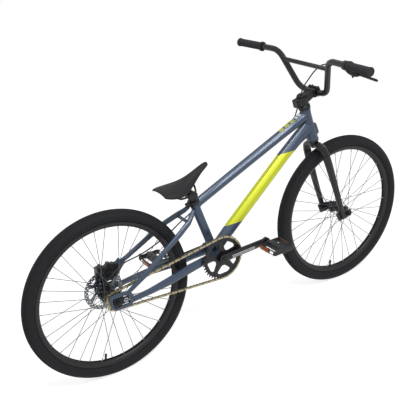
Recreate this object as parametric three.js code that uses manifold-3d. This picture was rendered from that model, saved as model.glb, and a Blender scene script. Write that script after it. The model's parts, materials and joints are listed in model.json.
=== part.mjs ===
// BMX cruiser bike with 24 inch wheels, one gear and a rear disc brake
// Millimetres, +X forward, +Y left, +Z up
// The origin is on the ground, midway between the two axles.
import * as THREE from 'three';
import { mergeVertices } from 'three/addons/utils/BufferGeometryUtils.js';
import Module from 'manifold-3d';

const wasm = await Module();
wasm.setup();

// Driving sizes of the whole bike
const wheelbase = 1008;
const tyreRadius = 298;
const tyreWidth = 45;
const headAngle = THREE.MathUtils.degToRad(74.3);
const seatAngle = THREE.MathUtils.degToRad(72.4);
const forkOffset = 35.9;
const headTubeFoot = 347.7;
const headTubeLength = 127.6;
const crankAxleX = 419.9;
const crankAxleZ = 308.7;
const crankLength = 175;
const crankAngle = THREE.MathUtils.degToRad(5.5);
const chainPitch = 12.7;
const chainringTeeth = 39;
const cogTeeth = 16;
const chainLine = 48;
const spokeCount = 36;
const wheelFacets = 32;
const roundFacets = 16;
const boreFacets = 12;
const slimFacets = 8;

// Clearances
const weldDistance = 1e-4;
const gap = 0.3;
const overrun = 6;

// Finishes
function finish(color, roughness, metalness) {
  return new THREE.MeshStandardMaterial({ color, roughness, metalness, flatShading: true });
}
const framePaint = () => finish(0x5b6b84, 0.35, 0.45);
const blackGloss = () => finish(0x1d1e21, 0.3, 0.2);
const blackSatin = () => finish(0x2b2c30, 0.5, 0.3);
const rubber = () => finish(0x2c2d31, 0.8, 0);
const plasticBlack = () => finish(0x26272a, 0.65, 0);
const steel = () => finish(0xb9bcc0, 0.3, 0.9);
const chainSteel = () => finish(0xb5a88c, 0.4, 0.7);

// Geometry helpers
function clean(geometry) {
  const bare = new THREE.BufferGeometry();
  bare.setAttribute('position', geometry.getAttribute('position'));
  if (geometry.index) bare.setIndex(geometry.index);
  const merged = mergeVertices(bare, weldDistance);
  const source = merged.index.array;
  const kept = [];
  for (let i = 0; i < source.length; i += 3) {
    const [a, b, c] = [source[i], source[i + 1], source[i + 2]];
    if (a !== b && b !== c && a !== c) kept.push(a, b, c);
  }
  merged.setIndex(volume(merged.getAttribute('position'), kept) < 0 ? kept.reverse() : kept);
  return merged;
}

function volume(position, index) {
  const [a, b, c] = [new THREE.Vector3(), new THREE.Vector3(), new THREE.Vector3()];
  let total = 0;
  for (let i = 0; i < index.length; i += 3) {
    a.fromBufferAttribute(position, index[i]);
    b.fromBufferAttribute(position, index[i + 1]);
    c.fromBufferAttribute(position, index[i + 2]);
    total += a.dot(b.cross(c));
  }
  return total;
}

function toSolid(geometry) {
  const closed = clean(geometry);
  return new wasm.Manifold(new wasm.Mesh({
    numProp: 3,
    vertProperties: new Float32Array(closed.getAttribute('position').array),
    triVerts: new Uint32Array(closed.index.array),
  }));
}

function toGeometry(solid) {
  const mesh = solid.getMesh();
  const geometry = new THREE.BufferGeometry();
  geometry.setAttribute('position', new THREE.BufferAttribute(new Float32Array(mesh.vertProperties), 3));
  geometry.setIndex(Array.from(mesh.triVerts));
  return geometry;
}

function join(...geometries) {
  const solids = geometries.map(toSolid);
  return toGeometry(solids.reduce((sum, solid) => sum.add(solid)));
}

function cut(geometry, ...tools) {
  return toGeometry(tools.map(toSolid).reduce((rest, tool) => rest.subtract(tool), toSolid(geometry)));
}

// A cut that can leave slivers beyond the tool keeps the largest piece
function cutOff(geometry, ...tools) {
  const solid = tools.map(toSolid).reduce((rest, tool) => rest.subtract(tool), toSolid(geometry));
  return toGeometry(solid.decompose().sort((a, b) => b.volume() - a.volume())[0]);
}

// A flat outline of [x, z] points, filled between two places across the bike
function across(outline, from, to, holes = []) {
  const shape = new THREE.Shape(outline.map(([x, z]) => new THREE.Vector2(x, z)));
  shape.holes = holes.map((hole) => new THREE.Path(hole.map(([x, z]) => new THREE.Vector2(x, z))));
  const geometry = new THREE.ExtrudeGeometry(shape, { depth: Math.abs(to - from), bevelEnabled: false });
  return geometry.rotateX(Math.PI / 2).translate(0, Math.max(from, to), 0);
}

// A profile of [y, radius] points turned about the Y axis, with its corners at the stated radius
function turned(profile, facets = roundFacets, phase = 0) {
  const points = profile.map(([y, radius]) => new THREE.Vector2(radius, y));
  const closed = profile[0][1] > 0 ? [...points, points[0].clone()] : points;
  return new THREE.LatheGeometry(closed, facets, phase);
}

// The same for the round of a wheel, with a flat and not a corner at its lowest point
function turnedWheel(profile) {
  const flat = 1 / Math.cos(Math.PI / wheelFacets);
  return turned(profile.map(([y, radius]) => [y, radius * flat]), wheelFacets, Math.PI / wheelFacets);
}

// Radius of a faceted hole whose flats clear a shaft of the stated radius
function boreFor(radius, facets = boreFacets) {
  return (radius + gap) / Math.cos(Math.PI / facets);
}

function disc(radius, from, to, facets = roundFacets) {
  return turned([[from, 0], [from, radius], [to, radius], [to, 0]], facets);
}

function ring(inner, outer, from, to, facets = roundFacets) {
  return turned([[from, inner], [from, outer], [to, outer], [to, inner]], facets);
}

// The upright forms of these, about the Z axis
const upright = (geometry) => geometry.rotateX(Math.PI / 2);
const post = (...sizes) => upright(disc(...sizes));
const ringUp = (...sizes) => upright(ring(...sizes));

// A rod between two points with a flat-sided round section
function rod(start, end, radius, sides = slimFacets) {
  const [a, b] = [new THREE.Vector3(...start), new THREE.Vector3(...end)];
  const direction = b.clone().sub(a);
  const geometry = new THREE.CylinderGeometry(radius, radius, direction.length(), sides);
  const turn = new THREE.Quaternion().setFromUnitVectors(new THREE.Vector3(0, 1, 0),
    direction.clone().normalize());
  return geometry.applyQuaternion(turn).translate(...a.add(b).multiplyScalar(0.5).toArray());
}

// Rounded section with the stated half sizes; a higher power squares it up
function section(halfWidth, halfHeight, sides, power = 2) {
  const points = [];
  for (let i = 0; i < sides; i += 1) {
    const angle = (2 * Math.PI * (i + 0.5)) / sides;
    const [c, s] = [Math.cos(angle), Math.sin(angle)];
    const reach = (Math.abs(c) ** power + Math.abs(s) ** power) ** (-1 / power);
    points.push([halfWidth * c * reach, halfHeight * s * reach]);
  }
  return points;
}

// Skins a row of sections. Each station has a centre, a section and the section's two directions.
function loft(stations) {
  const positions = [];
  const index = [];
  const count = stations[0].outline.length;
  stations.forEach(({ at, outline, side, up }) => {
    outline.forEach(([a, b]) => {
      const point = new THREE.Vector3(...at).addScaledVector(side, a).addScaledVector(up, b);
      positions.push(...point.toArray());
    });
  });
  for (let row = 0; row < stations.length - 1; row += 1) {
    for (let i = 0; i < count; i += 1) {
      const [a, b] = [row * count + i, row * count + ((i + 1) % count)];
      index.push(a, b, a + count, b, b + count, a + count);
    }
  }
  const cap = THREE.ShapeUtils.triangulateShape(stations[0].outline.map(([a, b]) => new THREE.Vector2(a, b)),
    []);
  const last = (stations.length - 1) * count;
  cap.forEach(([a, b, c]) => {
    index.push(c, b, a);
    index.push(last + a, last + b, last + c);
  });
  const geometry = new THREE.BufferGeometry();
  geometry.setAttribute('position', new THREE.Float32BufferAttribute(positions, 3));
  geometry.setIndex(index);
  return geometry;
}

// A lofted tube along points; halfWidths run sideways, halfHeights in the upright plane of the tube
function taperedTube(points, halfWidths, halfHeights, sides, power = 2) {
  const path = points.map((point) => new THREE.Vector3(...point));
  const across3 = new THREE.Vector3(0, 1, 0);
  return loft(path.map((at, i) => {
    const before = path[Math.max(i - 1, 0)];
    const after = path[Math.min(i + 1, path.length - 1)];
    const forward = after.clone().sub(before).normalize();
    const up = forward.clone().cross(across3).normalize();
    if (up.z < 0) up.negate();
    const side = up.clone().cross(forward).normalize();
    return { at: at.toArray(), outline: section(halfWidths[i], halfHeights[i], sides, power), side, up };
  }));
}

// A round tube or hose along a smooth curve
function bentTube(points, radius, steps, sides = slimFacets, tension = 0.5) {
  const curve = new THREE.CatmullRomCurve3(points.map((p) => new THREE.Vector3(...p)), false, 'catmullrom',
    tension);
  const outline = new THREE.Shape(section(radius, radius, sides).map(([a, b]) => new THREE.Vector2(a, b)));
  return new THREE.ExtrudeGeometry(outline, { steps, bevelEnabled: false, extrudePath: curve });
}

function part(name, geometry, material) {
  const body = clean(geometry);
  body.computeVertexNormals();
  const mesh = new THREE.Mesh(body, material);
  mesh.name = name;
  return mesh;
}

function place(group, x, y, z) {
  group.position.set(x, y, z);
  return group;
}

// Point in the frame of the steering axis turned into the frame of the bike
const steerTilt = Math.PI / 2 - headAngle;
const axleHeight = tyreRadius;
const steerBase = new THREE.Vector3(
  wheelbase - forkOffset * Math.cos(steerTilt), 0, axleHeight - forkOffset * Math.sin(steerTilt));
// Wheels
const rimInnerWidth = 23.4;
const rimWall = 2.2;
const rimFlangeHeight = 6;
const rimDepth = 11;
const rimFloorWidth = 15;
const beadSeatRadius = 253.5;
const tyreWall = 3;
const tyreTread = 6;
const tyreCrownWidth = 14;
const bellyShare = 0.5;
const shoulderShares = [0.83, 0.82];
const treadInsideShare = 0.53;
const tubeClearance = 0.5;
const tubeFloor = 3;
const valveRadius = 4;
const valveLength = 22;
const valveTurn = (2 * Math.PI) / wheelFacets;

const rimHalf = rimInnerWidth / 2;
const rimEdgeRadius = beadSeatRadius + rimFlangeHeight;
const rimFaceRadius = beadSeatRadius - rimDepth;
const beadHalf = rimHalf - gap;
const beadFoot = beadSeatRadius + gap;
const bellyRadius = beadFoot + (tyreRadius - beadFoot) * bellyShare;

function mirrored(half) {
  return [...half, ...half.map(([y, radius]) => [-y, radius]).reverse()];
}

function tyre() {
  const shoulder = [tyreWidth / 2 * shoulderShares[0],
    beadFoot + (tyreRadius - beadFoot) * shoulderShares[1]];
  const outside = mirrored([
    [beadHalf, beadFoot], [beadHalf, rimEdgeRadius + gap], [tyreWidth / 2, bellyRadius], shoulder,
    [tyreCrownWidth / 2, tyreRadius]]);
  const inside = mirrored([
    [beadHalf - tyreWall, beadFoot], [tyreWidth / 2 - tyreWall, bellyRadius],
    [tyreWidth / 2 * treadInsideShare, tyreRadius - tyreTread]]);
  return turnedWheel([...outside, ...inside.reverse()]);
}

function innerTube() {
  const body = turnedWheel(mirrored([
    [beadHalf - tyreWall - tubeClearance, beadFoot + tubeFloor],
    [tyreWidth / 2 - tyreWall - tubeClearance, bellyRadius],
    [tyreWidth / 2 * treadInsideShare - tubeClearance, tyreRadius - tyreTread - tubeClearance]]));
  return join(body, post(valveRadius, -bellyRadius, valveLength - rimFaceRadius, 6).rotateY(valveTurn));
}

function rim() {
  const outside = mirrored([[rimFloorWidth / 2, rimFaceRadius], [rimHalf + rimWall, beadSeatRadius],
    [rimHalf + rimWall, rimEdgeRadius]]);
  const inside = mirrored([[rimFloorWidth / 2, rimFaceRadius + rimWall], [rimHalf, beadSeatRadius],
    [rimHalf, rimEdgeRadius]]);
  const body = turnedWheel([...outside.slice(0, 3), ...inside.slice(0, 3).reverse(),
    ...inside.slice(3).reverse(), ...outside.slice(3)]);
  const hole = post(boreFor(valveRadius, 6), -rimFaceRadius - rimDepth, -rimFaceRadius + overrun, 6);
  return cut(body, hole.rotateY(valveTurn));
}

// Hub shell with two flanges, and the spokes laced to them
const spokeRadius = 1.1;
const spokeEnd = rimFaceRadius - gap * 2;
const spokeLean = THREE.MathUtils.degToRad(62);
const flangeThickness = 3;
const spokeRingInset = 4;
const spokeStagger = 1.8;
const rimStagger = 3;
const axleRadius = 4.8;

function hub(shellRadius, flangeRadius, rightFlange, leftFlange, rightEnd, leftEnd, noseRadius) {
  const half = flangeThickness / 2;
  const bore = boreFor(axleRadius);
  let body = toSolid(turned([
    [rightEnd, bore], [rightEnd, noseRadius], [rightFlange - half, noseRadius],
    [rightFlange - half, flangeRadius],
    [rightFlange + half, flangeRadius], [rightFlange + half, shellRadius],
    [leftFlange - half, shellRadius], [leftFlange - half, flangeRadius],
    [leftFlange + half, flangeRadius], [leftFlange + half, noseRadius], [leftEnd, noseRadius],
    [leftEnd, bore]], boreFacets));
  for (let i = 0; i < spokeCount; i += 1) {
    const flange = i % 2 ? rightFlange : leftFlange;
    const leads = i % 4 < 2 ? 1 : -1;
    const rimAngle = (2 * Math.PI * (i + 0.5)) / spokeCount;
    const hubAngle = rimAngle + leads * spokeLean;
    const foot = flangeRadius - spokeRingInset;
    const y = flange + leads * spokeStagger;
    const start = [foot * Math.cos(hubAngle), y, foot * Math.sin(hubAngle)];
    const tip = rimStagger * Math.sign(flange);
    const end = [spokeEnd * Math.cos(rimAngle), tip, spokeEnd * Math.sin(rimAngle)];
    body = body.add(toSolid(rod(start, end, spokeRadius, 3)));
  }
  return toGeometry(body);
}

const frontHubWidth = 100;
const rearHubWidth = 116;
const frontFlange = 30;
const rearFlangeRight = -29;
const rearFlangeLeft = 26;
const frontFlangeRadius = 24;
const rearFlangeRadius = 30;
const hubShellRadius = 15;
const rearShellRadius = 19;
const locknutThickness = 5;

function frontHub() {
  const end = frontHubWidth / 2 - locknutThickness;
  return hub(hubShellRadius, frontFlangeRadius, -frontFlange, frontFlange, -end, end, hubShellRadius);
}

// Drive
const rollerRadius = 3.8;
const linkInnerWidth = 3.2;
const linkPlateThickness = 1.2;
const linkPlateHeight = 8.2;
const toothThickness = linkInnerWidth - 2 * gap;
const toothTipShare = 0.2;
const toothRise = 2.6;
const chainringPitchRadius = chainPitch / (2 * Math.sin(Math.PI / chainringTeeth));
const cogPitchRadius = chainPitch / (2 * Math.sin(Math.PI / cogTeeth));

// Teeth all round: each gullet wraps its roller, each tooth narrows to its tip
function toothedOutline(teeth, pitchRadius, phase) {
  const points = [];
  const reach = (rollerRadius + gap) / Math.cos(THREE.MathUtils.degToRad(30));
  const step = (2 * Math.PI) / teeth;
  const tip = pitchRadius + toothRise;
  const tipHalf = (step / 2) * toothTipShare;
  for (let i = 0; i < teeth; i += 1) {
    const angle = phase + i * step;
    const centre = [pitchRadius * Math.cos(angle), pitchRadius * Math.sin(angle)];
    for (const side of [-1, 0, 1]) {
      const turn = angle + Math.PI + side * THREE.MathUtils.degToRad(-60);
      points.push([centre[0] + reach * Math.cos(turn), centre[1] + reach * Math.sin(turn)]);
    }
    const middle = angle + step / 2;
    points.push([tip * Math.cos(middle - tipHalf), tip * Math.sin(middle - tipHalf)]);
    points.push([tip * Math.cos(middle + tipHalf), tip * Math.sin(middle + tipHalf)]);
  }
  return points;
}

// Where the chain runs: round the chainring, along the top, round the cog and back along the bottom
const driveSpan = new THREE.Vector2(crankAxleX, crankAxleZ - axleHeight);
const driveLean = driveSpan.angle();
const wrapLean = Math.acos((cogPitchRadius - chainringPitchRadius) / driveSpan.length());
const spanLength = Math.sqrt(driveSpan.lengthSq() - (chainringPitchRadius - cogPitchRadius) ** 2);
const ringWrap = 2 * wrapLean;
const cogWrap = 2 * (Math.PI - wrapLean);

// Joints of the chain as [x, z]
// The tight top run keeps the exact pitch, the slack bottom run takes up the rest
const onCircle = (x, z, radius, angle) => [x + radius * Math.cos(angle), z + radius * Math.sin(angle)];
const topAngle = driveLean + wrapLean;
const onRing = (turn) => onCircle(crankAxleX, crankAxleZ, chainringPitchRadius, topAngle - turn);
const onCog = (turn) => onCircle(0, axleHeight, cogPitchRadius, topAngle + turn);
const topLinks = Math.floor(spanLength / chainPitch);
const cogEntry = entryTurn(spanLength - topLinks * chainPitch);
function chainJoints() {
  const joints = [];
  const ringStep = (2 * Math.PI) / chainringTeeth;
  const cogStep = (2 * Math.PI) / cogTeeth;
  for (let i = 0; i <= topLinks; i += 1) joints.push(between(onRing(0), onCog(0),
    (i * chainPitch) / spanLength));
  const cogSteps = Math.floor((cogWrap - cogEntry) / cogStep);
  for (let k = 0; k <= cogSteps; k += 1) joints.push(onCog(cogEntry + k * cogStep));
  const lastTurn = cogEntry + cogSteps * cogStep;
  const leave = (cogWrap - lastTurn) * cogPitchRadius;
  const ringSteps = Math.floor(ringWrap / ringStep);
  const arrive = (ringWrap - ringSteps * ringStep) * chainringPitchRadius;
  const reach = leave + spanLength + arrive;
  const links = Math.round(reach / chainPitch);
  for (let i = 1; i < links; i += 1) {
    const gone = (i * reach) / links;
    const share = (gone - leave) / spanLength;
    if (share < 0) joints.push(onCog(lastTurn + gone / cogPitchRadius));
    else if (share > 1) joints.push(onRing(ringWrap - (gone - leave - spanLength) / chainringPitchRadius));
    else joints.push(between(onCog(cogWrap), onRing(ringWrap), share));
  }
  for (let k = ringSteps; k > 0; k -= 1) joints.push(onRing(k * ringStep));
  return joints;
}

// How far round the cog its first joint lies, when the straight run ends the stated rest short of it
function entryTurn(rest) {
  let [low, high] = [0, (2 * Math.PI) / cogTeeth];
  while (high - low > Number.EPSILON * chainPitch) {
    const turn = (low + high) / 2;
    const length = Math.hypot(rest + cogPitchRadius * Math.sin(turn), cogPitchRadius * (1 - Math.cos(turn)));
    if (length < chainPitch) low = turn;
    else high = turn;
  }
  return low;
}

function between(from, to, share) {
  return [from[0] + (to[0] - from[0]) * share, from[1] + (to[1] - from[1]) * share];
}

// Inner links carry the rollers, outer links join them; the pins are hidden in the plates
const plateEndShares = [[1, 1], [-1, 1], [-1, -1], [1, -1]];
const outerPlateShare = 0.82;
function chain() {
  const joints = chainJoints();
  const half = linkPlateHeight / 2;
  const inside = linkInnerWidth / 2;
  const solids = [];
  joints.forEach((from, i) => {
    const to = joints[(i + 1) % joints.length];
    const length = Math.hypot(to[0] - from[0], to[1] - from[1]);
    const lean = Math.atan2(to[1] - from[1], to[0] - from[0]);
    const outer = i % 2 === 1;
    const high = outer ? half * outerPlateShare : half;
    const outline = plateEndShares.map(([a, b]) => [a * (length / 2 + half), b * high]);
    const near = outer ? inside + linkPlateThickness : inside;
    for (const side of [-1, 1]) {
      const plate = across(outline, side * near, side * (near + linkPlateThickness));
      solids.push(toSolid(onChain(plate, from, to, lean)));
    }
    const roller = across(hexagon(rollerRadius), -inside, inside);
    solids.push(toSolid(roller.rotateY(-lean).translate(from[0], -chainLine, from[1])));
  });
  return toGeometry(wasm.Manifold.union(solids));
}

function onChain(geometry, from, to, lean) {
  return geometry.rotateY(-lean).translate((from[0] + to[0]) / 2, -chainLine, (from[1] + to[1]) / 2);
}

function hexagon(radius) {
  return [...Array(6).keys()].map((i) => [radius * Math.cos((i * Math.PI) / 3),
    radius * Math.sin((i * Math.PI) / 3)]);
}

// Chainring: toothed rim on five arms round a centre that sits behind the crank arm
const ringBore = 9.6;
const windowInner = 31;
const windowOuter = 63;
const windowCount = 5;
const windowOuterSpread = THREE.MathUtils.degToRad(27);
const windowInnerSpread = THREE.MathUtils.degToRad(15);
const windowPhase = THREE.MathUtils.degToRad(-16);
const windowCrownShare = 1.03;
const windowCornerShare = 0.93;
const windowOuterShares = [[-0.86, 1], [-0.5, windowCrownShare], [0.5, windowCrownShare], [0.86, 1],
  [1, windowCornerShare]];
const windowInnerShares = [[1, 1.12], [0.6, 1], [-0.6, 1], [-1, 1.12]];
function chainring() {
  const windows = [];
  for (let i = 0; i < windowCount; i += 1) {
    const middle = windowPhase + (i * 2 * Math.PI) / windowCount;
        const outer = windowOuterShares.map(([a, r]) => polar(windowOuter * r / windowCrownShare,
          middle + a * windowOuterSpread));
    outer.unshift(polar(windowOuter * windowCornerShare / windowCrownShare, middle - windowOuterSpread));
      windows.push([...outer, ...windowInnerShares.map(([a, r]) => polar(windowInner * r,
        middle + a * windowInnerSpread))]);
  }
  windows.push(polygon(ringBore, boreFacets));
  const outline = toothedOutline(chainringTeeth, chainringPitchRadius, topAngle);
  return across(outline, -chainLine - toothThickness / 2, -chainLine + toothThickness / 2, windows);
}

function polar(radius, angle) {
  return [radius * Math.cos(angle), radius * Math.sin(angle)];
}

function polygon(radius, count) {
  return [...Array(count).keys()].map((i) => polar(radius, (2 * Math.PI * (i + 0.5)) / count));
}

// Freewheel cog on the right end of the rear hub
const noseRadius = 15;
const cogBodyRadius = 24;
const cogBodyInner = 39;
const cogBodyOuter = 52;
function rearCog() {
  const bore = boreFor(noseRadius);
  const outline = toothedOutline(cogTeeth, cogPitchRadius, topAngle + cogEntry);
  const teeth = across(outline, -chainLine - toothThickness / 2, -chainLine + toothThickness / 2);
  const body = disc(cogBodyRadius, -cogBodyOuter, -cogBodyInner, roundFacets);
  return cut(join(teeth, body), disc(bore, -cogBodyOuter - overrun, -cogBodyInner + overrun, boreFacets));
}

// Rear hub with the shoulder that the brake rotor is bolted to
const rotorPlace = 43;
const rotorThickness = 1.8;
const rotorRadius = 70;
const rotorBand = 14;
const rotorArms = 6;
const rotorHubRadius = 24;
const rotorShoulder = 8;
function rearHub() {
  const end = rearHubWidth / 2 - locknutThickness;
  const body = hub(rearShellRadius, rearFlangeRadius, rearFlangeRight, rearFlangeLeft, -end, end, noseRadius);
  const seat = rotorPlace - rotorThickness / 2 - gap;
  return join(body, ring(noseRadius - 1, rotorHubRadius, seat - rotorShoulder, seat, boreFacets));
}

function rotor() {
  const windows = [];
  const outside = rotorRadius - rotorBand;
  for (let i = 0; i < rotorArms; i += 1) {
    const middle = (i * 2 * Math.PI) / rotorArms;
    const outer = [-0.4, -0.15, 0.15, 0.36].map((a) => polar(outside, middle + a));
    const inner = [-0.12, -0.75].map((a) => polar(rotorHubRadius + rotorThickness * 2, middle + a));
    windows.push([...outer, ...inner]);
  }
  windows.push(polygon(boreFor(noseRadius), boreFacets));
  const half = rotorThickness / 2;
  return across(polygon(rotorRadius, 36), rotorPlace - half, rotorPlace + half, windows);
}

// Axle with locknuts inside the dropouts, washers and nuts outside them
const dropoutThickness = 6.5;
const locknutRadius = 9;
const washerRadius = 11;
const washerThickness = 1.5;
const nutRadius = 8.7;
const nutThickness = 8;
const axleOverhang = 3;
function axle(hubWidth, plate) {
  const inner = hubWidth / 2 - locknutThickness + gap;
  const outer = hubWidth / 2 + plate + gap;
  const pieces = [disc(axleRadius, -outer - nutThickness - axleOverhang, outer + nutThickness + axleOverhang,
    slimFacets)];
  for (const side of [-1, 1]) {
    pieces.push(disc(locknutRadius, side * inner, side * (hubWidth / 2 - gap), 6));
    pieces.push(disc(washerRadius, side * outer, side * (outer + washerThickness), slimFacets));
    pieces.push(disc(nutRadius, side * (outer + washerThickness), side * (outer + nutThickness), 6));
  }
  return join(...pieces);
}

// Frame tubes. The steering frame has its Z along the steering axis, the seat frame along the seat tube.
const headTubeTop = headTubeFoot + headTubeLength;
const steererRadius = 14.3;
const headBoreRadius = 17;
const headRadiusFoot = 23;
const headRadiusWaist = 19;
const headRadiusTop = 20.5;
const headFlare = 22;
const seatTubeRadius = 15.9;
const seatTubeBore = 13.6;
const seatTubeTop = 238;
const shellRadius = 21;
const shellHalfWidth = 34;
const cupSleeveRadius = 17;
const shellBore = boreFor(cupSleeveRadius, roundFacets);

function headTubeForm(grow) {
  return upright(turned([
    [headTubeFoot - grow, 0], [headTubeFoot - grow, headRadiusFoot + grow],
    [headTubeFoot + headFlare, headRadiusWaist + grow],
    [headTubeTop - headFlare, headRadiusWaist + grow], [headTubeTop + grow, headRadiusTop + grow],
    [headTubeTop + grow, 0]], roundFacets));
}

const padWidth = 26;
const padHeight = 50;
const padFoot = 12;
const padProud = 5;
const padTaper = 6;
function headTube() {
  const front = headRadiusWaist + padProud;
  const from = headTubeFoot + padFoot;
  const pad = across([
    [headRadiusWaist / 2, from], [front - padTaper, from], [front + padTaper / 2, from + padTaper],
    [front, from + padHeight - padTaper],
    [front - padTaper, from + padHeight], [headRadiusWaist / 2, from + padHeight]], -padWidth / 2,
    padWidth / 2);
  const bore = post(headBoreRadius, headTubeFoot - overrun, headTubeTop + overrun, roundFacets);
  return cut(join(headTubeForm(0), pad), bore);
}

function seatTubeForm(grow) {
  const tube = post(seatTubeRadius + grow, 0, seatTubeTop + grow, roundFacets);
  return tube.rotateY(seatAngle - Math.PI / 2).translate(crankAxleX, 0, crankAxleZ);
}

function shellForm(grow) {
  return disc(shellRadius + grow, -shellHalfWidth - grow, shellHalfWidth + grow,
    roundFacets).translate(crankAxleX, 0, crankAxleZ);
}

function seatTube() {
  const bore = post(seatTubeBore, 0, seatTubeTop + overrun, roundFacets);
  bore.rotateY(seatAngle - Math.PI / 2).translate(crankAxleX, 0, crankAxleZ);
  return cut(seatTubeForm(0), bore, shellForm(gap));
}

function bottomBracketShell() {
  return ring(shellBore, shellRadius, -shellHalfWidth, shellHalfWidth, roundFacets).translate(crankAxleX, 0,
    crankAxleZ);
}

const headTubeInBike = (grow) => headTubeForm(grow).rotateY(-steerTilt).translate(...steerBase.toArray());

const tubeWall = 2.4;
// Centre lines as [x, y, z] of the bike, from the rear axle; sizes of the section at each point
const topTubeLine = [[348, 0, 512], [400, 0, 534], [560, 0, 601], [730, 0, 672], [856, 0, 724]];
const topTubeHalfWidths = [15, 15, 16, 17, 18];
const topTubeHalfHeights = [16, 16, 16, 17, 20];
function topTubeForm(grow) {
  const widths = topTubeHalfWidths.map((w) => w + grow);
  return taperedTube(topTubeLine, widths, topTubeHalfHeights.map((h) => h + grow), 8, 2.6);
}

function topTube() {
  return cutOff(topTubeForm(0), topTubeForm(-tubeWall), seatTubeForm(gap), headTubeInBike(gap), collarRoom());
}

const downTubeLine = [[424, 0, 325], [500, 0, 391], [640, 0, 507], [745, 0, 594], [800, 0, 636],
  [862, 0, 676]];
const downTubeHalfWidths = [20, 20, 20, 20, 20, 20];
const downTubeHalfHeights = [21, 22, 22, 22, 23, 28];
function downTubeForm(grow) {
  const widths = downTubeHalfWidths.map((w) => w + grow);
  return taperedTube(downTubeLine, widths, downTubeHalfHeights.map((h) => h + grow), 8, 2.6);
}

function downTube() {
  return cutOff(downTubeForm(0), downTubeForm(-tubeWall), shellForm(gap), headTubeInBike(gap),
    topTubeForm(gap), seatTubeForm(gap));
}

// Stays, given for the left side and mirrored for the right
const seatstayLine = [[338, 17, 504], [325, 24, 492], [304, 36, 477], [260, 48, 454], [186, 55, 409],
  [111, 60, 360], [38, 61, 318]];
const seatstayLiftLeft = [3, 4, 6, 8, 13, 21, 32];
const seatstayHalfWidths = [6, 7, 7.5, 7.5, 7, 6, 3.2];
const seatstayHalfHeights = [8, 9, 10, 10, 9.5, 9, 8];
const chainstayLine = [[406, 29, 312], [348, 32, 312], [291, 36, 306], [203, 52, 299], [122, 59, 293],
  [48, 61, 287]];
const chainstayHalfWidths = [7, 7, 7.5, 7.5, 7, 3.2];
const chainstayHalfHeights = [15, 16, 17, 15, 11, 9];
function stay(line, halfWidths, halfHeights, side) {
  return taperedTube(line.map(([x, y, z]) => [x, side * y, z]), halfWidths, halfHeights, 8, 3);
}

// Dropout plates as [x, z] from the axle, with the long window that the axle and tensioner sit in
const dropoutOutline = [[-24, -14], [-10, -27], [40, -27], [58, -16], [62, 0], [54, 16], [30, 30], [-18, 30],
  [-25, 20]];
const windowOutline = [[-16, -12], [-12, -17], [40, -16], [46, -8], [44, 12], [36, 17], [-14, 18], [-17, 13]];
const rearDropoutInner = rearHubWidth / 2;
function outlineAtAxle(outline, grow = 0) {
  return grownOutline(outline, grow).map(([x, z]) => [x, z + axleHeight]);
}

function grownOutline(outline, grow) {
  const count = outline.length;
  return outline.map(([x, z], i) => {
    const before = outline[(i + count - 1) % count];
    const after = outline[(i + 1) % count];
    const a = Math.atan2(z - before[1], x - before[0]);
    const b = Math.atan2(after[1] - z, after[0] - x);
    const half = ((((b - a) % (2 * Math.PI)) + 3 * Math.PI) % (2 * Math.PI) - Math.PI) / 2;
    const reach = grow / Math.cos(half);
    const out = a + half - Math.PI / 2;
    return [x + reach * Math.cos(out), z + reach * Math.sin(out)];
  });
}

function dropout(side) {
  const from = side * rearDropoutInner;
  const to = side * (rearDropoutInner + dropoutThickness);
  return across(outlineAtAxle(dropoutOutline), from, to, [outlineAtAxle(windowOutline)]);
}

function dropoutClearance(side) {
  const wide = side * (rearDropoutInner - overrun * 2);
  return across(outlineAtAxle(dropoutOutline, gap), wide,
    side * (rearDropoutInner + dropoutThickness + overrun * 2));
}

function chainstayForm(side, grow = 0) {
  return stay(chainstayLine, chainstayHalfWidths.map((w) => w + grow),
    chainstayHalfHeights.map((h) => h + grow), side);
}

function chainstay(side) {
  const cupRoom = disc(cupFlangeRadius + gap * 2, side * shellHalfWidth,
    side * (shellHalfWidth + cupFlangeWidth * 3), roundFacets);
  cupRoom.translate(crankAxleX, 0, crankAxleZ);
  return cutOff(chainstayForm(side), dropoutClearance(side), shellForm(gap), seatTubeForm(gap), cupRoom);
}

function seatstayForm(side, grow = 0) {
  const line = side < 0 ? seatstayLine : seatstayLine.map(([x, y, z], i) => [x, y, z + seatstayLiftLeft[i]]);
  return stay(line, seatstayHalfWidths.map((w) => w + grow), seatstayHalfHeights.map((h) => h + grow), side);
}

function seatstay(side) {
  const tools = [dropoutClearance(side), seatTubeForm(gap), chainstayForm(side, gap), topTubeForm(gap)];
  if (side > 0) tools.push(across(grownOutline(outlineAtAxle(stayArm), gap), rearDropoutInner - overrun,
    rearDropoutInner + overrun * 2));
  return cutOff(seatstayForm(side), ...tools);
}

const bridgePlace = [302, 0, 480];
const bridgeHalfWidth = 34;
const bridgeRadius = 6;
function seatstayBridge() {
  const bar = disc(bridgeRadius, -bridgeHalfWidth, bridgeHalfWidth, slimFacets).translate(...bridgePlace);
  return cutOff(bar, seatstayForm(-1, gap), seatstayForm(1, gap));
}

// Room round the seat clamp collar
function collarRoom() {
  const radius = boreFor(seatTubeRadius, roundFacets) + clampCollarWall + gap * 2;
  return onSeatTube(post(radius, seatTubeTop - clampCollarHeight - gap, seatTubeTop + overrun, roundFacets));
}

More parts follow.
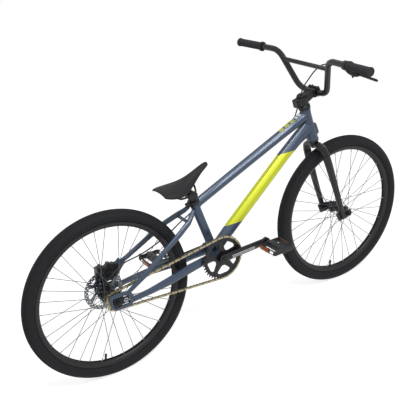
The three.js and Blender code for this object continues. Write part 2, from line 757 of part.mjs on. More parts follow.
// Pieces on the seat tube axis
const seatPostRadius = seatTubeBore - gap * 2;
const seatPostWall = 2.5;
const seatPostFoot = 90;
const seatPostTop = 262;
const clampCollarHeight = 13;
const clampCollarWall = 4;
const clampLug = 9;
function seatClamp() {
  const inner = boreFor(seatTubeRadius, roundFacets);
  const from = seatTubeTop - clampCollarHeight;
  const lug = new THREE.BoxGeometry(clampLug * 2, clampLug * 2, clampCollarHeight);
  lug.translate(-inner - clampCollarWall, 0, from + clampCollarHeight / 2);
  const collar = join(ringUp(inner, inner + clampCollarWall, from, seatTubeTop, roundFacets), lug);
  const slot = new THREE.BoxGeometry(clampLug * 4, gap * 5, clampCollarHeight * 2);
  slot.translate(-inner - clampCollarWall, 0, from + clampCollarHeight / 2);
  return cut(collar, slot, post(inner, from - overrun, seatTubeTop + overrun, roundFacets));
}

// Saddle clamp head on the post, the two rails, and the saddle shell
const clampHeadLength = 34;
const clampHeadHeight = 22;
const clampHeadHalfWidth = 27;
const railRadius = 3.5;
const railHalfGauge = 22;
const clampCentre = [337, 0, 562];
function saddleClamp() {
  const half = clampHeadLength / 2;
  const [x, , z] = clampCentre;
  const chamfer = clampHeadHeight / 4;
  const top = clampHeadHeight / 2;
  const block = across([[x - half, z - chamfer], [x - half + chamfer, z - top], [x + half - chamfer, z - top],
    [x + half, z - chamfer], [x + half, z + chamfer], [x + half - chamfer, z + top],
    [x - half + chamfer, z + top],
    [x - half, z + chamfer]], -clampHeadHalfWidth, clampHeadHalfWidth);
  const grooves = [-1, 1].map((side) => rod([x - half * 2, side * railHalfGauge, z],
    [x + half * 2, side * railHalfGauge, z], boreFor(railRadius, slimFacets), slimFacets));
  const socket = onSeatTube(post(boreFor(seatPostRadius, roundFacets), seatTubeTop, seatPostTop + gap,
    roundFacets));
  return cut(block, ...grooves, socket);
}

function onSeatTube(geometry) {
  return geometry.rotateY(seatAngle - Math.PI / 2).translate(crankAxleX, 0, crankAxleZ);
}

class Route extends THREE.Curve {
  constructor(stations) {
    super();
    this.stations = stations.map((point) => new THREE.Vector3(...point));
  }

  getPoint(share, target = new THREE.Vector3()) {
    const last = this.stations.length - 1;
    const place = Math.min(Math.floor(share * last + 1e-9), last - 1);
    return target.lerpVectors(this.stations[place], this.stations[place + 1], share * last - place);
  }

  getPointAt(share, target) {
    return this.getPoint(share, target);
  }

  getTangentAt(share, target = new THREE.Vector3()) {
    const last = this.stations.length - 1;
    const place = Math.round(share * last);
    const into = this.stations[place].clone().sub(this.stations[Math.max(place - 1, 0)]).normalize();
    const out = this.stations[Math.min(place + 1, last)].clone().sub(this.stations[place]).normalize();
    return target.addVectors(into, out).normalize();
  }
}

// Corners joined by straight runs and arcs; the tube made along them has rings only where it bends
function rounded(corners, radius, arcSteps) {
  const points = corners.map((corner) => new THREE.Vector3(...corner));
  const stations = [points[0]];
  for (let i = 1; i < points.length - 1; i += 1) {
    const into = points[i].clone().sub(points[i - 1]).normalize();
    const out = points[i + 1].clone().sub(points[i]).normalize();
    const turn = into.angleTo(out);
    const back = radius * Math.tan(turn / 2);
    const inward = out.clone().sub(into).normalize();
    const centre = inward.multiplyScalar(radius / Math.cos(turn / 2)).add(points[i]);
    const a = points[i].clone().addScaledVector(into, -back).sub(centre);
    const b = points[i].clone().addScaledVector(out, back).sub(centre);
    for (let k = 0; k <= arcSteps; k += 1) {
      const share = k / arcSteps;
      const arm = a.clone().multiplyScalar(Math.sin((1 - share) * turn)).addScaledVector(b,
        Math.sin(share * turn));
      stations.push(arm.divideScalar(Math.sin(turn)).add(centre));
    }
  }
  stations.push(points[points.length - 1]);
  return stations.map((point) => point.toArray());
}

function routedTube(stations, radius, sides) {
  const outline = new THREE.Shape(section(radius, radius, sides).map(([a, b]) => new THREE.Vector2(a, b)));
  return new THREE.ExtrudeGeometry(outline, { steps: stations.length - 1, bevelEnabled: false,
    extrudePath: new Route(stations) });
}

const railBend = 16;
const railFront = [377, 7, 608];
const railDip = [370, railHalfGauge, clampCentre[2]];
const railBack = [292, railHalfGauge, clampCentre[2]];
const railTail = [250, 34, 588];
function saddleRails() {
  const sides = [-1, 1].map((side) => {
    const corners = [railFront, railDip, railBack, railTail].map(([x, y, z]) => [x, side * y, z]);
    return routedTube(rounded(corners, railBend, 3), railRadius, 6);
  });
  const [x, y, z] = railFront;
  const nose = rod([x, -y - railRadius, z], [x, y + railRadius, z], railRadius, 6);
  return join(...sides, nose);
}

// Saddle: thin moulded shell with drooping wings and a long nose, as half widths and heights along its length
const saddleRear = 220;
const saddleNose = 416;
const saddleHalfWidth = 60;
const saddleShares = [0, 0.06, 0.2, 0.36, 0.48, 0.6, 0.74, 0.88, 0.97, 1];
const saddleWidthShares = [0.7, 0.9, 1, 0.86, 0.64, 0.44, 0.29, 0.22, 0.17, 0.09];
const saddleTopHeights = [604, 607, 610, 613, 618, 626, 637, 649, 655, 653];
const saddleDroops = [7, 11, 16, 20, 18, 15, 11, 8, 6, 3];
const saddleThickness = 8;
const saddleArcShares = [[1, 1], [0.82, 0.5], [0.45, 0.12], [0, 0]];
const railSocketRadius = 6.5;
const railSocketGrip = 9;
const noseTongueLength = 14;
const noseTongueHalfWidth = 3.2;
function saddle() {
  const [x, , z] = railFront;
  const shell = saddleShell();
  const top = saddleTopHeights[saddleTopHeights.length - 1] - saddleThickness * 2;
  const tongue = new THREE.BoxGeometry(noseTongueLength, noseTongueHalfWidth * 2, top - z + railRadius * 2);
  tongue.translate(x, 0, (top + z) / 2 - railRadius);
  const noseBore = disc(boreFor(railRadius, 6), -railSocketGrip, railSocketGrip, 6).translate(x, 0, z);
  const sockets = [-1, 1].map((side) => railSocket(side, railSocketRadius, railSocketGrip));
  const bores = [-1, 1].map((side) => railSocket(side, boreFor(railRadius, 6), gap));
  return cut(join(shell, tongue, ...sockets), noseBore, ...bores);
}

// A cylinder round the raised end of a rail, which runs on past that end by the stated reach
function railSocket(side, radius, reach) {
  const end = new THREE.Vector3(railTail[0], side * railTail[1], railTail[2]);
  const along = end.clone().sub(new THREE.Vector3(railBack[0], side * railBack[1], railBack[2])).normalize();
  const start = end.clone().addScaledVector(along, reach > gap ? -railSocketGrip : -railSocketGrip * 2);
  return rod(start.toArray(), end.addScaledVector(along, reach).toArray(), radius, slimFacets);
}

function saddleShell() {
  const length = saddleNose - saddleRear;
  return loft(saddleShares.map((share, i) => {
    const half = saddleHalfWidth * saddleWidthShares[i];
    const droop = saddleDroops[i];
    const thick = Math.min(saddleThickness, droop + 3);
    const right = saddleArcShares.map(([a, b]) => [a * half, -b * droop]);
    const over = [...right, ...right.slice(0, -1).reverse().map(([a, b]) => [-a, b])];
    const under = over.map(([a, b]) => [a * (1 - saddleThickness / 4 / (half + 1)), b - thick]).reverse();
    return {
      at: [saddleRear + share * length, 0, saddleTopHeights[i]], outline: [...over, ...under],
      side: new THREE.Vector3(0, 1, 0), up: new THREE.Vector3(0, 0, 1),
    };
  }));
}

// Steering pieces, in the frame of the steering axis
const bearingRadius = 22.5;
const bearingHeight = 6;
const coneHeight = 16;
const coneTopRadius = 17.5;
const stemClampRadius = 20;
const stemClampFoot = 494;
const stemClampTop = 526;
const steererTop = 524;
const stemClampEar = [-25, 9];
const capRadius = 17;
const capHeight = 5;
const barForward = 54.9;
const barHeight = 517.7;
const barRadius = 11.1;
const stemHalfWidth = 15;
const stemHalfHeight = 12;
const barClampHalfWidth = 23;
const barClampHalfHeight = 19;
const barClampBack = 16;
const faceplateDepth = 15;
function headsetBearing(low, outer) {
  return ringUp(boreFor(steererRadius), outer, low, low + bearingHeight, roundFacets);
}

const coneFoot = headTubeTop + bearingHeight + 2 * gap;
function headsetCone() {
  const bore = boreFor(steererRadius);
  return upright(turned([[coneFoot, bore], [coneFoot, bearingRadius],
    [coneFoot + coneHeight / 3, bearingRadius],
    [stemClampFoot - gap, coneTopRadius], [stemClampFoot - gap, bore]], roundFacets));
}

function stem() {
  const ear = new THREE.BoxGeometry(-stemClampEar[0], stemClampEar[1] * 2, stemClampTop - stemClampFoot);
  ear.translate(stemClampEar[0] / 2, 0, (stemClampFoot + stemClampTop) / 2);
  const clamp = join(post(stemClampRadius, stemClampFoot, stemClampTop, 14), ear);
  const neck = taperedTube([[0, 0, (stemClampFoot + stemClampTop) / 2],
    [barForward - barClampBack, 0, barHeight]],
    [stemHalfWidth, stemHalfWidth], [stemHalfHeight, stemHalfHeight], 8, 3);
  const x = barForward;
  const block = across([[x - barClampBack, barHeight - barClampHalfHeight * 0.7],
    [x - barClampBack / 2, barHeight - barClampHalfHeight],
    [x, barHeight - barClampHalfHeight], [x, barHeight + barClampHalfHeight],
    [x - barClampBack / 2, barHeight + barClampHalfHeight],
    [x - barClampBack, barHeight + barClampHalfHeight * 0.7]], -barClampHalfWidth, barClampHalfWidth);
  const bore = post(boreFor(steererRadius, roundFacets), stemClampFoot - overrun, stemClampTop + overrun,
    roundFacets);
  return cut(join(clamp, neck, block), bore, disc(boreFor(barRadius), -barClampHalfWidth - overrun,
    barClampHalfWidth + overrun, boreFacets).translate(x, 0, barHeight));
}

function stemFaceplate() {
  const x = barForward + gap;
  const front = x + faceplateDepth;
  const top = barClampHalfHeight;
  const plate = across([[x, barHeight - top], [x + faceplateDepth / 2, barHeight - top],
    [front, barHeight - top / 2],
    [front, barHeight + top / 2], [x + faceplateDepth / 2, barHeight + top], [x, barHeight + top]],
    -barClampHalfWidth, barClampHalfWidth);
  return cut(plate, disc(boreFor(barRadius), -barClampHalfWidth - overrun, barClampHalfWidth + overrun,
    boreFacets).translate(barForward, 0, barHeight));
}

function topCap() {
  return post(capRadius, stemClampTop + gap, stemClampTop + gap + capHeight, roundFacets);
}

// Handlebar: the middle, the riser on each side, and the grip runs that sweep back a little
const barLean = THREE.MathUtils.degToRad(3);
const barFoot = 72;
const barShoulder = [133, 146];
const barSweep = new THREE.Vector3(-0.0777, 1, 0.0287).normalize();
const barEnd = 346;
const barBendRadius = 46;
const barBendSteps = 4;
function barPoint(y, along) {
  return [barForward - along * Math.sin(barLean), y, barHeight + along * Math.cos(barLean)];
}

// Where the line of the grip runs would meet the middle of the bike
function sweepRoot() {
  const [y] = barShoulder;
  return new THREE.Vector3(...barPoint(...barShoulder)).addScaledVector(barSweep, -y / barSweep.y);
}

function handlebarForm(grow) {
  const end = sweepRoot().addScaledVector(barSweep, barEnd).toArray();
  const half = [barPoint(barFoot, 0), barPoint(...barShoulder), end];
  const corners = [...half.map(([x, y, z]) => [x, -y, z]).reverse(), ...half];
  return routedTube(rounded(corners, barBendRadius, barBendSteps), barRadius + grow, 8);
}

// Turns a piece made along the Y axis onto the grip run of its side
function onGripRun(geometry, side) {
  const direction = barSweep.clone().setY(side * barSweep.y);
  const turn = new THREE.Quaternion().setFromUnitVectors(new THREE.Vector3(0, side, 0), direction);
  return geometry.applyQuaternion(turn).translate(...sweepRoot().toArray());
}

const crossbarAlong = 111;
const crossbarRadius = 8;
const crossbarHalf = 120;
// The bar with its welded cross tube
function handlebar() {
  const [x, , z] = barPoint(0, crossbarAlong);
  return join(handlebarForm(0), disc(crossbarRadius, -crossbarHalf, crossbarHalf, slimFacets).translate(x, 0,
    z));
}

// Grips: sleeve with a collar at the inner end and a closed outer end
const gripRadius = 14.2;
const gripCollarRadius = 17.5;
const gripCollarWidth = 7;
const gripEndRadius = 15.6;
const gripEnd = 350;
const leftGripStart = 218;
const rightGripStart = 242;
function grip(start) {
  const bore = boreFor(barRadius, 14);
  const cap = gripEnd - barEnd - gap;
  return turned([
    [start, bore], [start, gripCollarRadius], [start + gripCollarWidth, gripCollarRadius],
    [start + gripCollarWidth * 1.3, gripRadius], [gripEnd - cap * 3, gripRadius],
    [gripEnd - cap * 2, gripEndRadius],
    [gripEnd, gripEndRadius - 1], [gripEnd, 0], [gripEnd - cap, 0], [gripEnd - cap, bore]], 14);
}

// Fork: steerer and arched crown, legs with forward dropouts
const forkCrownTop = headTubeFoot - bearingHeight - 2 * gap;
const crownHeight = 26;
const legSplit = 290;
const legLine = [[2, 53, 288], [2, 57, 240], [4, 59, 140], [6, 59, 30], [7, 59, -4]];
const legHalfWidths = [10.5, 10.5, 10, 8, 5];
const legHalfDepths = [16, 15.5, 12.5, 10.5, 8];
const crownArch = [[0, 0, 326], [0, 24, 326], [1, 45, 314], [2, 52.5, 289]];
function forkCrown() {
  const steerer = post(steererRadius, forkCrownTop - crownHeight / 2, steererTop, roundFacets);
  const boss = upright(turned([[forkCrownTop - crownHeight, 0], [forkCrownTop - crownHeight, 14],
    [forkCrownTop - 8, 19],
    [forkCrownTop, 19], [forkCrownTop, 0]], roundFacets));
  const arms = [-1, 1].map((side) => crownArm(side));
  return join(steerer, boss, ...arms);
}

// One curved arm of the crown, square to the leg that it carries
function crownArm(side) {
  const path = crownArch.map(([x, y, z]) => new THREE.Vector3(x, side * y, z));
  const sizes = [[13, 12], [14, 11], [16, 10.5], [16.5, 10.5]];
  return loft(path.map((at, i) => {
    const forward = path[Math.min(i + 1, path.length - 1)].clone().sub(path[Math.max(i - 1, 0)]).normalize();
    if (i === path.length - 1) forward.set(0, 0, -1);
    const side3 = new THREE.Vector3(1, 0, 0);
    const up = forward.clone().cross(side3).normalize();
    return { at: at.toArray(), outline: section(sizes[i][0], sizes[i][1], 8, 2.4),
      side: up.clone().cross(forward).normalize(), up };
  }));
}

const forkPlateThickness = 6;
const forkPlateShares = [[-0.5, 0.9], [0.35, 0.75], [1, 0.42], [1.42, 0.3], [1.5, -0.2], [1.1, -0.45],
  [0.3, -0.3], [-0.4, -0.15]];
function forkLeg(side) {
  const path = legLine.map(([x, y, z]) => new THREE.Vector3(x, side * y, z));
  const leg = loft(path.map((at, i) => ({
    at: at.toArray(), outline: section(legHalfDepths[i], legHalfWidths[i], 8, 2.2),
    side: new THREE.Vector3(1, 0, 0), up: new THREE.Vector3(0, 1, 0),
  })));
  const inner = frontHubWidth / 2;
  const plate = across(forkPlateShares.map(([x, z]) => [x * forkOffset, z * forkOffset]), side * inner,
    side * (inner + forkPlateThickness));
  const slot = boreFor(axleRadius, slimFacets);
  const mouth = across([[forkOffset - slot * 0.9, -forkOffset * 1.5],
    [forkOffset + slot * 0.9, -forkOffset * 1.5],
    [forkOffset + slot * 0.9, 0], [forkOffset - slot * 0.9, 0]], side * (inner - overrun),
    side * (inner + forkPlateThickness + overrun));
  const eye = disc(slot, side * (inner - overrun), side * (inner + forkPlateThickness + overrun),
    slimFacets).translate(forkOffset, 0, 0);
  const inside = new THREE.BoxGeometry(forkOffset * 4, inner, legSplit * 3).translate(0, side * inner / 2, 0);
  return cut(join(leg, plate), mouth, eye, inside);
}

// Brake lever and its body, first as [away from the bar, across, square to both], then turned into place
const leverLean = THREE.MathUtils.degToRad(64.8);
const leverPivot = [33, -250];
const leverPinRadius = 3;
const leverBladeHalf = 4;
const leverSlotBack = 20.5;
const leverClamp = [-237, -220];
const leverClampRadius = 16;
function onLever(geometry) {
  return onGripRun(geometry.rotateY(leverLean), -1);
}

const leverBodyStations = [[22, -212, 6, 8], [25, -224, 11, 12], [32, -240, 11, 13], [34, -258, 10, 11],
  [34, -268, 6, 8]];
function leverLoft(stations, power) {
  return loft(stations.map(([u, y, halfU, halfN]) => ({
    at: [u, y, 0], outline: section(halfU, halfN, 8, power),
    side: new THREE.Vector3(1, 0, 0), up: new THREE.Vector3(0, 0, 1),
  })));
}

const leverPinHalf = 17;
function leverPinForm(grow) {
  const [u, y] = leverPivot;
  return post(grow ? boreFor(leverPinRadius, slimFacets) : leverPinRadius, -leverPinHalf - grow,
    leverPinHalf + grow, slimFacets).translate(u, y, 0);
}

function leverBody() {
  const ringForm = disc(leverClampRadius, leverClamp[0], leverClamp[1], 14);
  const slotHalf = leverBladeHalf + gap;
  const slot = new THREE.BoxGeometry(leverPinHalf * 4, leverPinHalf * 4, slotHalf * 2);
  slot.translate(leverSlotBack + leverPinHalf * 2, leverClamp[0] - leverPinHalf * 2 + overrun, 0);
  const body = cut(join(ringForm, leverLoft(leverBodyStations, 3)), slot, grooveForGrip());
  return cut(join(onLever(join(body, leverPinForm(0))), hoseSocket(frontHoseLine[0], frontHoseLine[1])),
    handlebarForm(gap));
}

// Room for the collar of the grip beside the lever body
function grooveForGrip() {
  return disc(gripCollarRadius + gap * 2, -gripEnd, leverClamp[0] - gap, 14);
}

const leverStations = [[31, -240, 5, 4], [34, -256, 7, 4], [38, -290, 5.5, 4], [42, -324, 5.5, 4],
  [43, -343, 6.5, 4], [43, -347.5, 4, 3]];
function brakeLever() {
  return onLever(cut(leverLoft(leverStations, 2.6), leverPinForm(gap)));
}

// Brake hose: the front run bends with the steering, the rear run is clipped to the frame
const hoseRadius = 2.5;
const hoseSocketRadius = 4;
const hoseSocketLength = 18;
const frontHoseLine = [[854.8, -203.2, 930.9], [867, -180, 929], [876, -150, 926], [885, -90, 914],
  [888, -45, 902], [887, -12, 879],
  [879, 12, 848], [866, 31, 812], [852, 31, 780], [838, 29, 748], [826.8, 27.4, 726.3],
  [824, 27, 721]];
const rearHoseLine = [[823.84, 26.98, 720.7], [821, 26.6, 715.4], [800, 24, 700], [760, 23, 670],
  [700, 22, 641], [600, 21, 598], [500, 20.5, 556], [410, 21, 516],
  [372, 24, 492], [345, 34, 468], [318, 46, 446], [263, 51, 411], [201, 50, 388], [150, 46, 377],
  [105, 44.5, 372], [70, 44, 366]];
function toSteering([x, y, z]) {
  return new THREE.Vector3(x, y, z).sub(steerBase).applyAxisAngle(new THREE.Vector3(0, 1, 0),
    steerTilt).toArray();
}

// The socket that a run of hose starts from, in line with its first stretch
function hoseSocket(start, next) {
  const mouth = toSteering(start);
  const along = new THREE.Vector3(...mouth).sub(new THREE.Vector3(...toSteering(next))).normalize();
  const inner = new THREE.Vector3(...mouth).addScaledVector(along, hoseSocketLength);
  const outer = new THREE.Vector3(...mouth).addScaledVector(along, gap);
  return rod(inner.toArray(), outer.toArray(), hoseSocketRadius, slimFacets);
}

function hose(line, steps) {
  return bentTube(line, hoseRadius, steps, 6);
}

// Disc brake: calliper body over the rotor with two pads in its slot
const caliperOutline = [[-15, 46], [-15, 86], [-2, 94], [20, 96], [46, 90], [62, 70], [60, 52], [46, 40],
  [28, 34], [6, 38]];
const caliperInner = 34;
const caliperOuter = 54;
const caliperSlot = [38.4, 47.6];
const caliperSlotRadius = 73;
const actuatorPlace = [26, 58];
const actuatorRadius = 13;
const actuatorHeight = 6;
const hosePort = [69.2, 44, 68];
const hosePortLength = 24;
function caliper() {
  const [x, z] = actuatorPlace;
  const body = across(outlineAtAxle(caliperOutline), caliperInner, caliperOuter);
  const boss = disc(actuatorRadius, caliperOuter - overrun, caliperOuter + actuatorHeight,
    boreFacets).translate(x, 0, z + axleHeight);
  const slot = disc(caliperSlotRadius, ...caliperSlot, 36).translate(0, 0, axleHeight);
  const [portX, portY, portZ] = hosePort;
  const start = [portX - hosePortLength, portY, portZ + axleHeight];
  const port = rod(start, [portX, portY, portZ + axleHeight], hoseSocketRadius, slimFacets);
  return join(cut(body, slot), boss, port);
}

const padStepShares = [0, 0.33, 0.67, 1];

const padInnerRadius = 54;
const padOuterRadius = 69;
const padAngles = [52, 78];
const padThickness = 2.8;
const padFromRotor = 0.5;
function brakePad(side) {
  const spread = padAngles[1] - padAngles[0];
  const angles = padStepShares.map((share) => THREE.MathUtils.degToRad(padAngles[0] + spread * share));
  const outline = [...angles.map((angle) => polar(padOuterRadius, angle)),
    ...angles.reverse().map((angle) => polar(padInnerRadius, angle))];
  const near = rotorPlace + side * (rotorThickness / 2 + padFromRotor);
  return across(outlineAtAxle(outline), near, near + side * padThickness);
}

// Mount for the calliper, standing in from the left dropout
const caliperMount = [[-18, 24], [12, 24], [8, 60], [-2, 84], [-14, 84]];
const stayArm = [[20, 24], [56, 8], [70, 34], [96, 62], [76, 88], [46, 64]];
function brakeDropout() {
  const pad = across(outlineAtAxle(caliperMount), caliperOuter + gap, rearDropoutInner + dropoutThickness);
  const arm = across(outlineAtAxle(stayArm), rearDropoutInner, rearDropoutInner + dropoutThickness);
  return cut(join(dropout(1), pad, arm), actuatorRoom());
}

function actuatorRoom() {
  const [x, z] = actuatorPlace;
  return disc(actuatorRadius + gap * 4, caliperOuter, caliperOuter + overrun * 3, boreFacets).translate(x, 0,
    z + axleHeight);
}

// Chain tensioner: a block on the axle in the dropout window, with a screw to the front wall of the window
const tensionerHalfLength = 13;
const tensionerScrewRadius = 2.5;
function tensioner(side) {
  const from = side * (rearDropoutInner + gap * 2);
  const to = side * (rearDropoutInner + dropoutThickness - gap * 2);
  const half = tensionerHalfLength;
  const outline = [[-half, -half], [half, -half], [half, half], [-half, half]];
  const bore = disc(boreFor(axleRadius), from - side * overrun, to + side * overrun, boreFacets);
  const middle = (from + to) / 2;
  const front = windowOutline[3][0];
  const screw = rod([half - 1, middle, 0], [front - 2, middle, 0], tensionerScrewRadius, slimFacets);
  return join(cut(across(outline, from, to), bore), screw).translate(0, 0, axleHeight);
}

// Bottom bracket cups, crank arms, spindle
const spindleRadius = 8.5;
const cupFlangeRadius = 20;
const cupFlangeWidth = 5;
const cupDepth = 18;
function cup(side) {
  const face = shellHalfWidth + gap;
  const bore = boreFor(spindleRadius);
  const profile = [[face - cupDepth, bore], [face - cupDepth, cupSleeveRadius], [face, cupSleeveRadius],
    [face, cupFlangeRadius],
    [face + cupFlangeWidth, cupFlangeRadius], [face + cupFlangeWidth, bore]];
  return turned(profile.map(([y, radius]) => [side * y, radius]), roundFacets).translate(crankAxleX, 0,
    crankAxleZ);
}

const armFoot = 49.6;
const armBossWidth = 13.4;
const armTipInner = 66;
const armTipOuter = 79;
const bossRadius = 18;
const eyeRadius = 13.5;
const armHalfHeights = [15, 14.5, 13.5, 12.5];
const armShares = [0, 0.14, 0.8, 1];
const armHalfThickness = [6.7, 6.5, 5.6, 6.4];
const armOutShares = [0, 0.1, 0.85, 1];
function armForm() {
  const near = armFoot + armBossWidth / 2;
  const far = (armTipInner + armTipOuter) / 2;
  return loft(armShares.map((share, i) => ({
    at: [share * crankLength, near + (far - near) * armOutShares[i], 0],
    outline: section(armHalfThickness[i], armHalfHeights[i], 8, 3.4),
    side: new THREE.Vector3(0, 1, 0), up: new THREE.Vector3(0, 0, 1),
  })));
}

const pedalAxleRadius = 5.2;
function crankArm() {
  const boss = disc(bossRadius, armFoot, armFoot + armBossWidth, roundFacets);
  const eye = disc(eyeRadius, armTipInner, armTipOuter, 14).translate(crankLength, 0, 0);
  const hole = disc(boreFor(pedalAxleRadius, slimFacets), armTipInner - overrun, armTipOuter + overrun,
    slimFacets).translate(crankLength, 0, 0);
  return cut(join(armForm(), boss, eye), hole);
}

const spindleEnd = 9;
function crankArmRight() {
  const arm = crankArm().scale(1, -1, 1);
  return cut(arm, disc(boreFor(spindleRadius), -armFoot - spindleEnd - gap, overrun, boreFacets));
}

function crankArmLeft() {
  const arm = crankArm().scale(-1, 1, 1);
  return join(arm, disc(spindleRadius, -armFoot - spindleEnd, armFoot + overrun, boreFacets));
}

// Pedals: axle screwed into the arm, open cage turning on it
const pedalInner = 88;
const pedalOuter = 178;
const pedalHalfLength = 43;
const pedalHalfHeight = 10.5;
const pedalBarrelRadius = 11.5;
const pedalRail = 8;
const pedalSide = 9;
const pedalAxleHex = 8;
function pedalAxle(side) {
  const collar = [armTipOuter + gap, pedalInner - gap * 3];
  const shaft = disc(pedalAxleRadius, armTipInner, pedalOuter - pedalSide / 2, slimFacets);
  return join(shaft, disc(pedalAxleHex, ...collar, 6)).scale(1, side, 1);
}

function pedal(side) {
  const [half, rail] = [pedalHalfLength, pedalRail];
  const plan = [[-half, pedalInner + rail], [-half + rail, pedalInner], [half - rail, pedalInner],
    [half, pedalInner + rail],
    [half, pedalOuter - rail], [half - rail, pedalOuter], [-half + rail, pedalOuter],
    [-half, pedalOuter - rail]];
  const shape = new THREE.Shape(plan.map(([x, y]) => new THREE.Vector2(x, y)));
  const cage = new THREE.ExtrudeGeometry(shape, { depth: pedalHalfHeight * 2, bevelEnabled: false });
  cage.translate(0, 0, -pedalHalfHeight);
  const windows = [-1, 1].map((end) => {
    const room = new THREE.BoxGeometry(half - rail - pedalBarrelRadius + 1,
      pedalOuter - pedalInner - pedalSide * 2, pedalHalfHeight * 3);
    return room.translate((end * (half - rail + pedalBarrelRadius - 1)) / 2, (pedalOuter + pedalInner) / 2,
      0);
  });
  const barrel = disc(pedalBarrelRadius, pedalInner, pedalOuter, boreFacets);
  const bore = disc(boreFor(pedalAxleRadius), pedalInner - overrun, pedalOuter - pedalSide / 2 + gap * 2,
    boreFacets);
  return cut(join(cut(cage, ...windows), barrel), bore).scale(1, side, 1);
}

// The finished bike
const bike = new THREE.Group();
bike.name = 'bike';
bike.position.set(-wheelbase / 2, 0, 0);

const frame = new THREE.Group();
frame.add(
  part('head_tube', headTubeInPlace(), framePaint()),
  part('top_tube', topTube(), framePaint()),
  part('down_tube', downTube(), framePaint()),
  part('seat_tube', seatTube(), framePaint()),
  part('bottom_bracket_shell', bottomBracketShell(), framePaint()),
  part('chainstay_left', chainstay(1), framePaint()),
  part('chainstay_right', chainstay(-1), framePaint()),
  part('seatstay_left', seatstay(1), framePaint()),
  part('seatstay_right', seatstay(-1), framePaint()),
  part('seatstay_bridge', seatstayBridge(), framePaint()),
  part('dropout_left', brakeDropout(), framePaint()),
  part('dropout_right', dropout(-1), framePaint()),
  part('seat_clamp', onSeatTube(seatClamp()), blackSatin()),
  part('headset_lower_bearing', onHeadTube(headsetBearing(headTubeFoot - gap - bearingHeight,
  bearingRadius)), blackSatin()),
  part('headset_upper_bearing', onHeadTube(headsetBearing(headTubeTop + gap, bearingRadius)), blackSatin()),
  part('bottom_bracket_cup_left', cup(1), steel()),
  part('bottom_bracket_cup_right', cup(-1), steel()),
  part('brake_caliper', caliper(), blackSatin()),
  part('brake_pad_inner', brakePad(-1), steel()),
  part('brake_pad_outer', brakePad(1), steel()),
  part('brake_hose_rear', hose(rearHoseLine, 28), rubber()),
  part('chain', chain(), chainSteel()),
  part('rear_axle', axle(rearHubWidth, dropoutThickness).translate(0, 0, axleHeight), steel()),
  part('chain_tensioner_left', tensioner(1), blackSatin()),
  part('chain_tensioner_right', tensioner(-1), blackSatin()),
);

function headTubeInPlace() {
  return onHeadTube(headTube());
}

function onHeadTube(geometry) {
  return geometry.rotateY(-steerTilt).translate(...steerBase.toArray());
}

const seat = new THREE.Group();
seat.add(
  part('seat_post', onSeatTube(ringUp(seatPostRadius - seatPostWall, seatPostRadius, seatPostFoot,
  seatPostTop, roundFacets)), blackSatin()),
  part('saddle_clamp', saddleClamp(), blackSatin()),
  part('saddle_rails', saddleRails(), steel()),
  part('saddle', saddle(), plasticBlack()),
);

const steering = new THREE.Group();
steering.position.copy(steerBase);
steering.rotation.y = -steerTilt;
steering.add(
  part('fork_crown', forkCrown(), blackGloss()),
  part('fork_leg_left', forkLeg(1), blackGloss()),
  part('fork_leg_right', forkLeg(-1), blackGloss()),
  part('headset_cone', headsetCone(), blackSatin()),
  part('stem', stem(), blackSatin()),
  part('stem_faceplate', stemFaceplate(), blackSatin()),
  part('top_cap', topCap(), blackSatin()),
  part('handlebar', handlebar(), blackGloss()),
  part('grip_left', onGripRun(grip(leftGripStart), 1), rubber()),
  part('grip_right', onGripRun(grip(rightGripStart).scale(1, -1, 1), -1), rubber()),
  part('brake_lever_body', leverBody(), blackSatin()),
  part('brake_lever', brakeLever(), blackSatin()),
  part('brake_hose_front', hose(frontHoseLine.map(toSteering), 20), rubber()),
  part('front_axle', axle(frontHubWidth, forkPlateThickness).translate(forkOffset, 0, 0), steel()),
);

const frontWheel = place(new THREE.Group(), wheelbase, 0, axleHeight);
frontWheel.add(
  part('front_tyre', tyre(), rubber()),
  part('front_inner_tube', innerTube(), rubber()),
  part('front_rim', rim(), blackGloss()),
  part('front_hub', frontHub(), steel()),
);

const rearWheel = place(new THREE.Group(), 0, 0, axleHeight);
rearWheel.add(
  part('rear_tyre', tyre(), rubber()),
  part('rear_inner_tube', innerTube(), rubber()),
  part('rear_rim', rim(), blackGloss()),
  part('rear_hub', rearHub(), steel()),
  part('brake_rotor', rotor(), steel()),
  part('rear_cog', rearCog(), chainSteel()),
);

const crank = place(new THREE.Group(), crankAxleX, 0, crankAxleZ);
crank.add(part('chainring', chainring(), blackGloss()));
const arms = new THREE.Group();
arms.rotation.y = -crankAngle;
arms.add(
  part('crank_arm_right', crankArmRight(), blackGloss()),
  part('crank_arm_left', crankArmLeft(), blackGloss()),
);
crank.add(arms);
for (const side of [-1, 1]) {
  const name = side < 0 ? 'right' : 'left';
  const reach = -side * crankLength;
  const pedals = place(new THREE.Group(), reach * Math.cos(crankAngle), 0, reach * Math.sin(crankAngle));
  pedals.add(
    part(`pedal_axle_${name}`, pedalAxle(side), steel()),
    part(`pedal_${name}`, pedal(side), plasticBlack()),
  );
  crank.add(pedals);
}

bike.add(frame, seat, steering, frontWheel, rearWheel, crank);
const group = new THREE.Group();
group.name = 'bmx_cruiser';
group.add(bike);
export default group;
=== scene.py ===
# %% [markdown]
# # A BMX cruiser bike, dressed for a product picture
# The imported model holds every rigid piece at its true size. This lesson gives those pieces their soft
# edges, paint, rubber and metal, and models what is too fine for the solids: tread, spokes, welds, bolts.
# Each step first says what the real thing is, then how it could be made, and why this way was taken.

# %% Load the frame
import json
import math

import bmesh
import bpy
from mathutils import Matrix, Vector
from mathutils.bvhtree import BVHTree


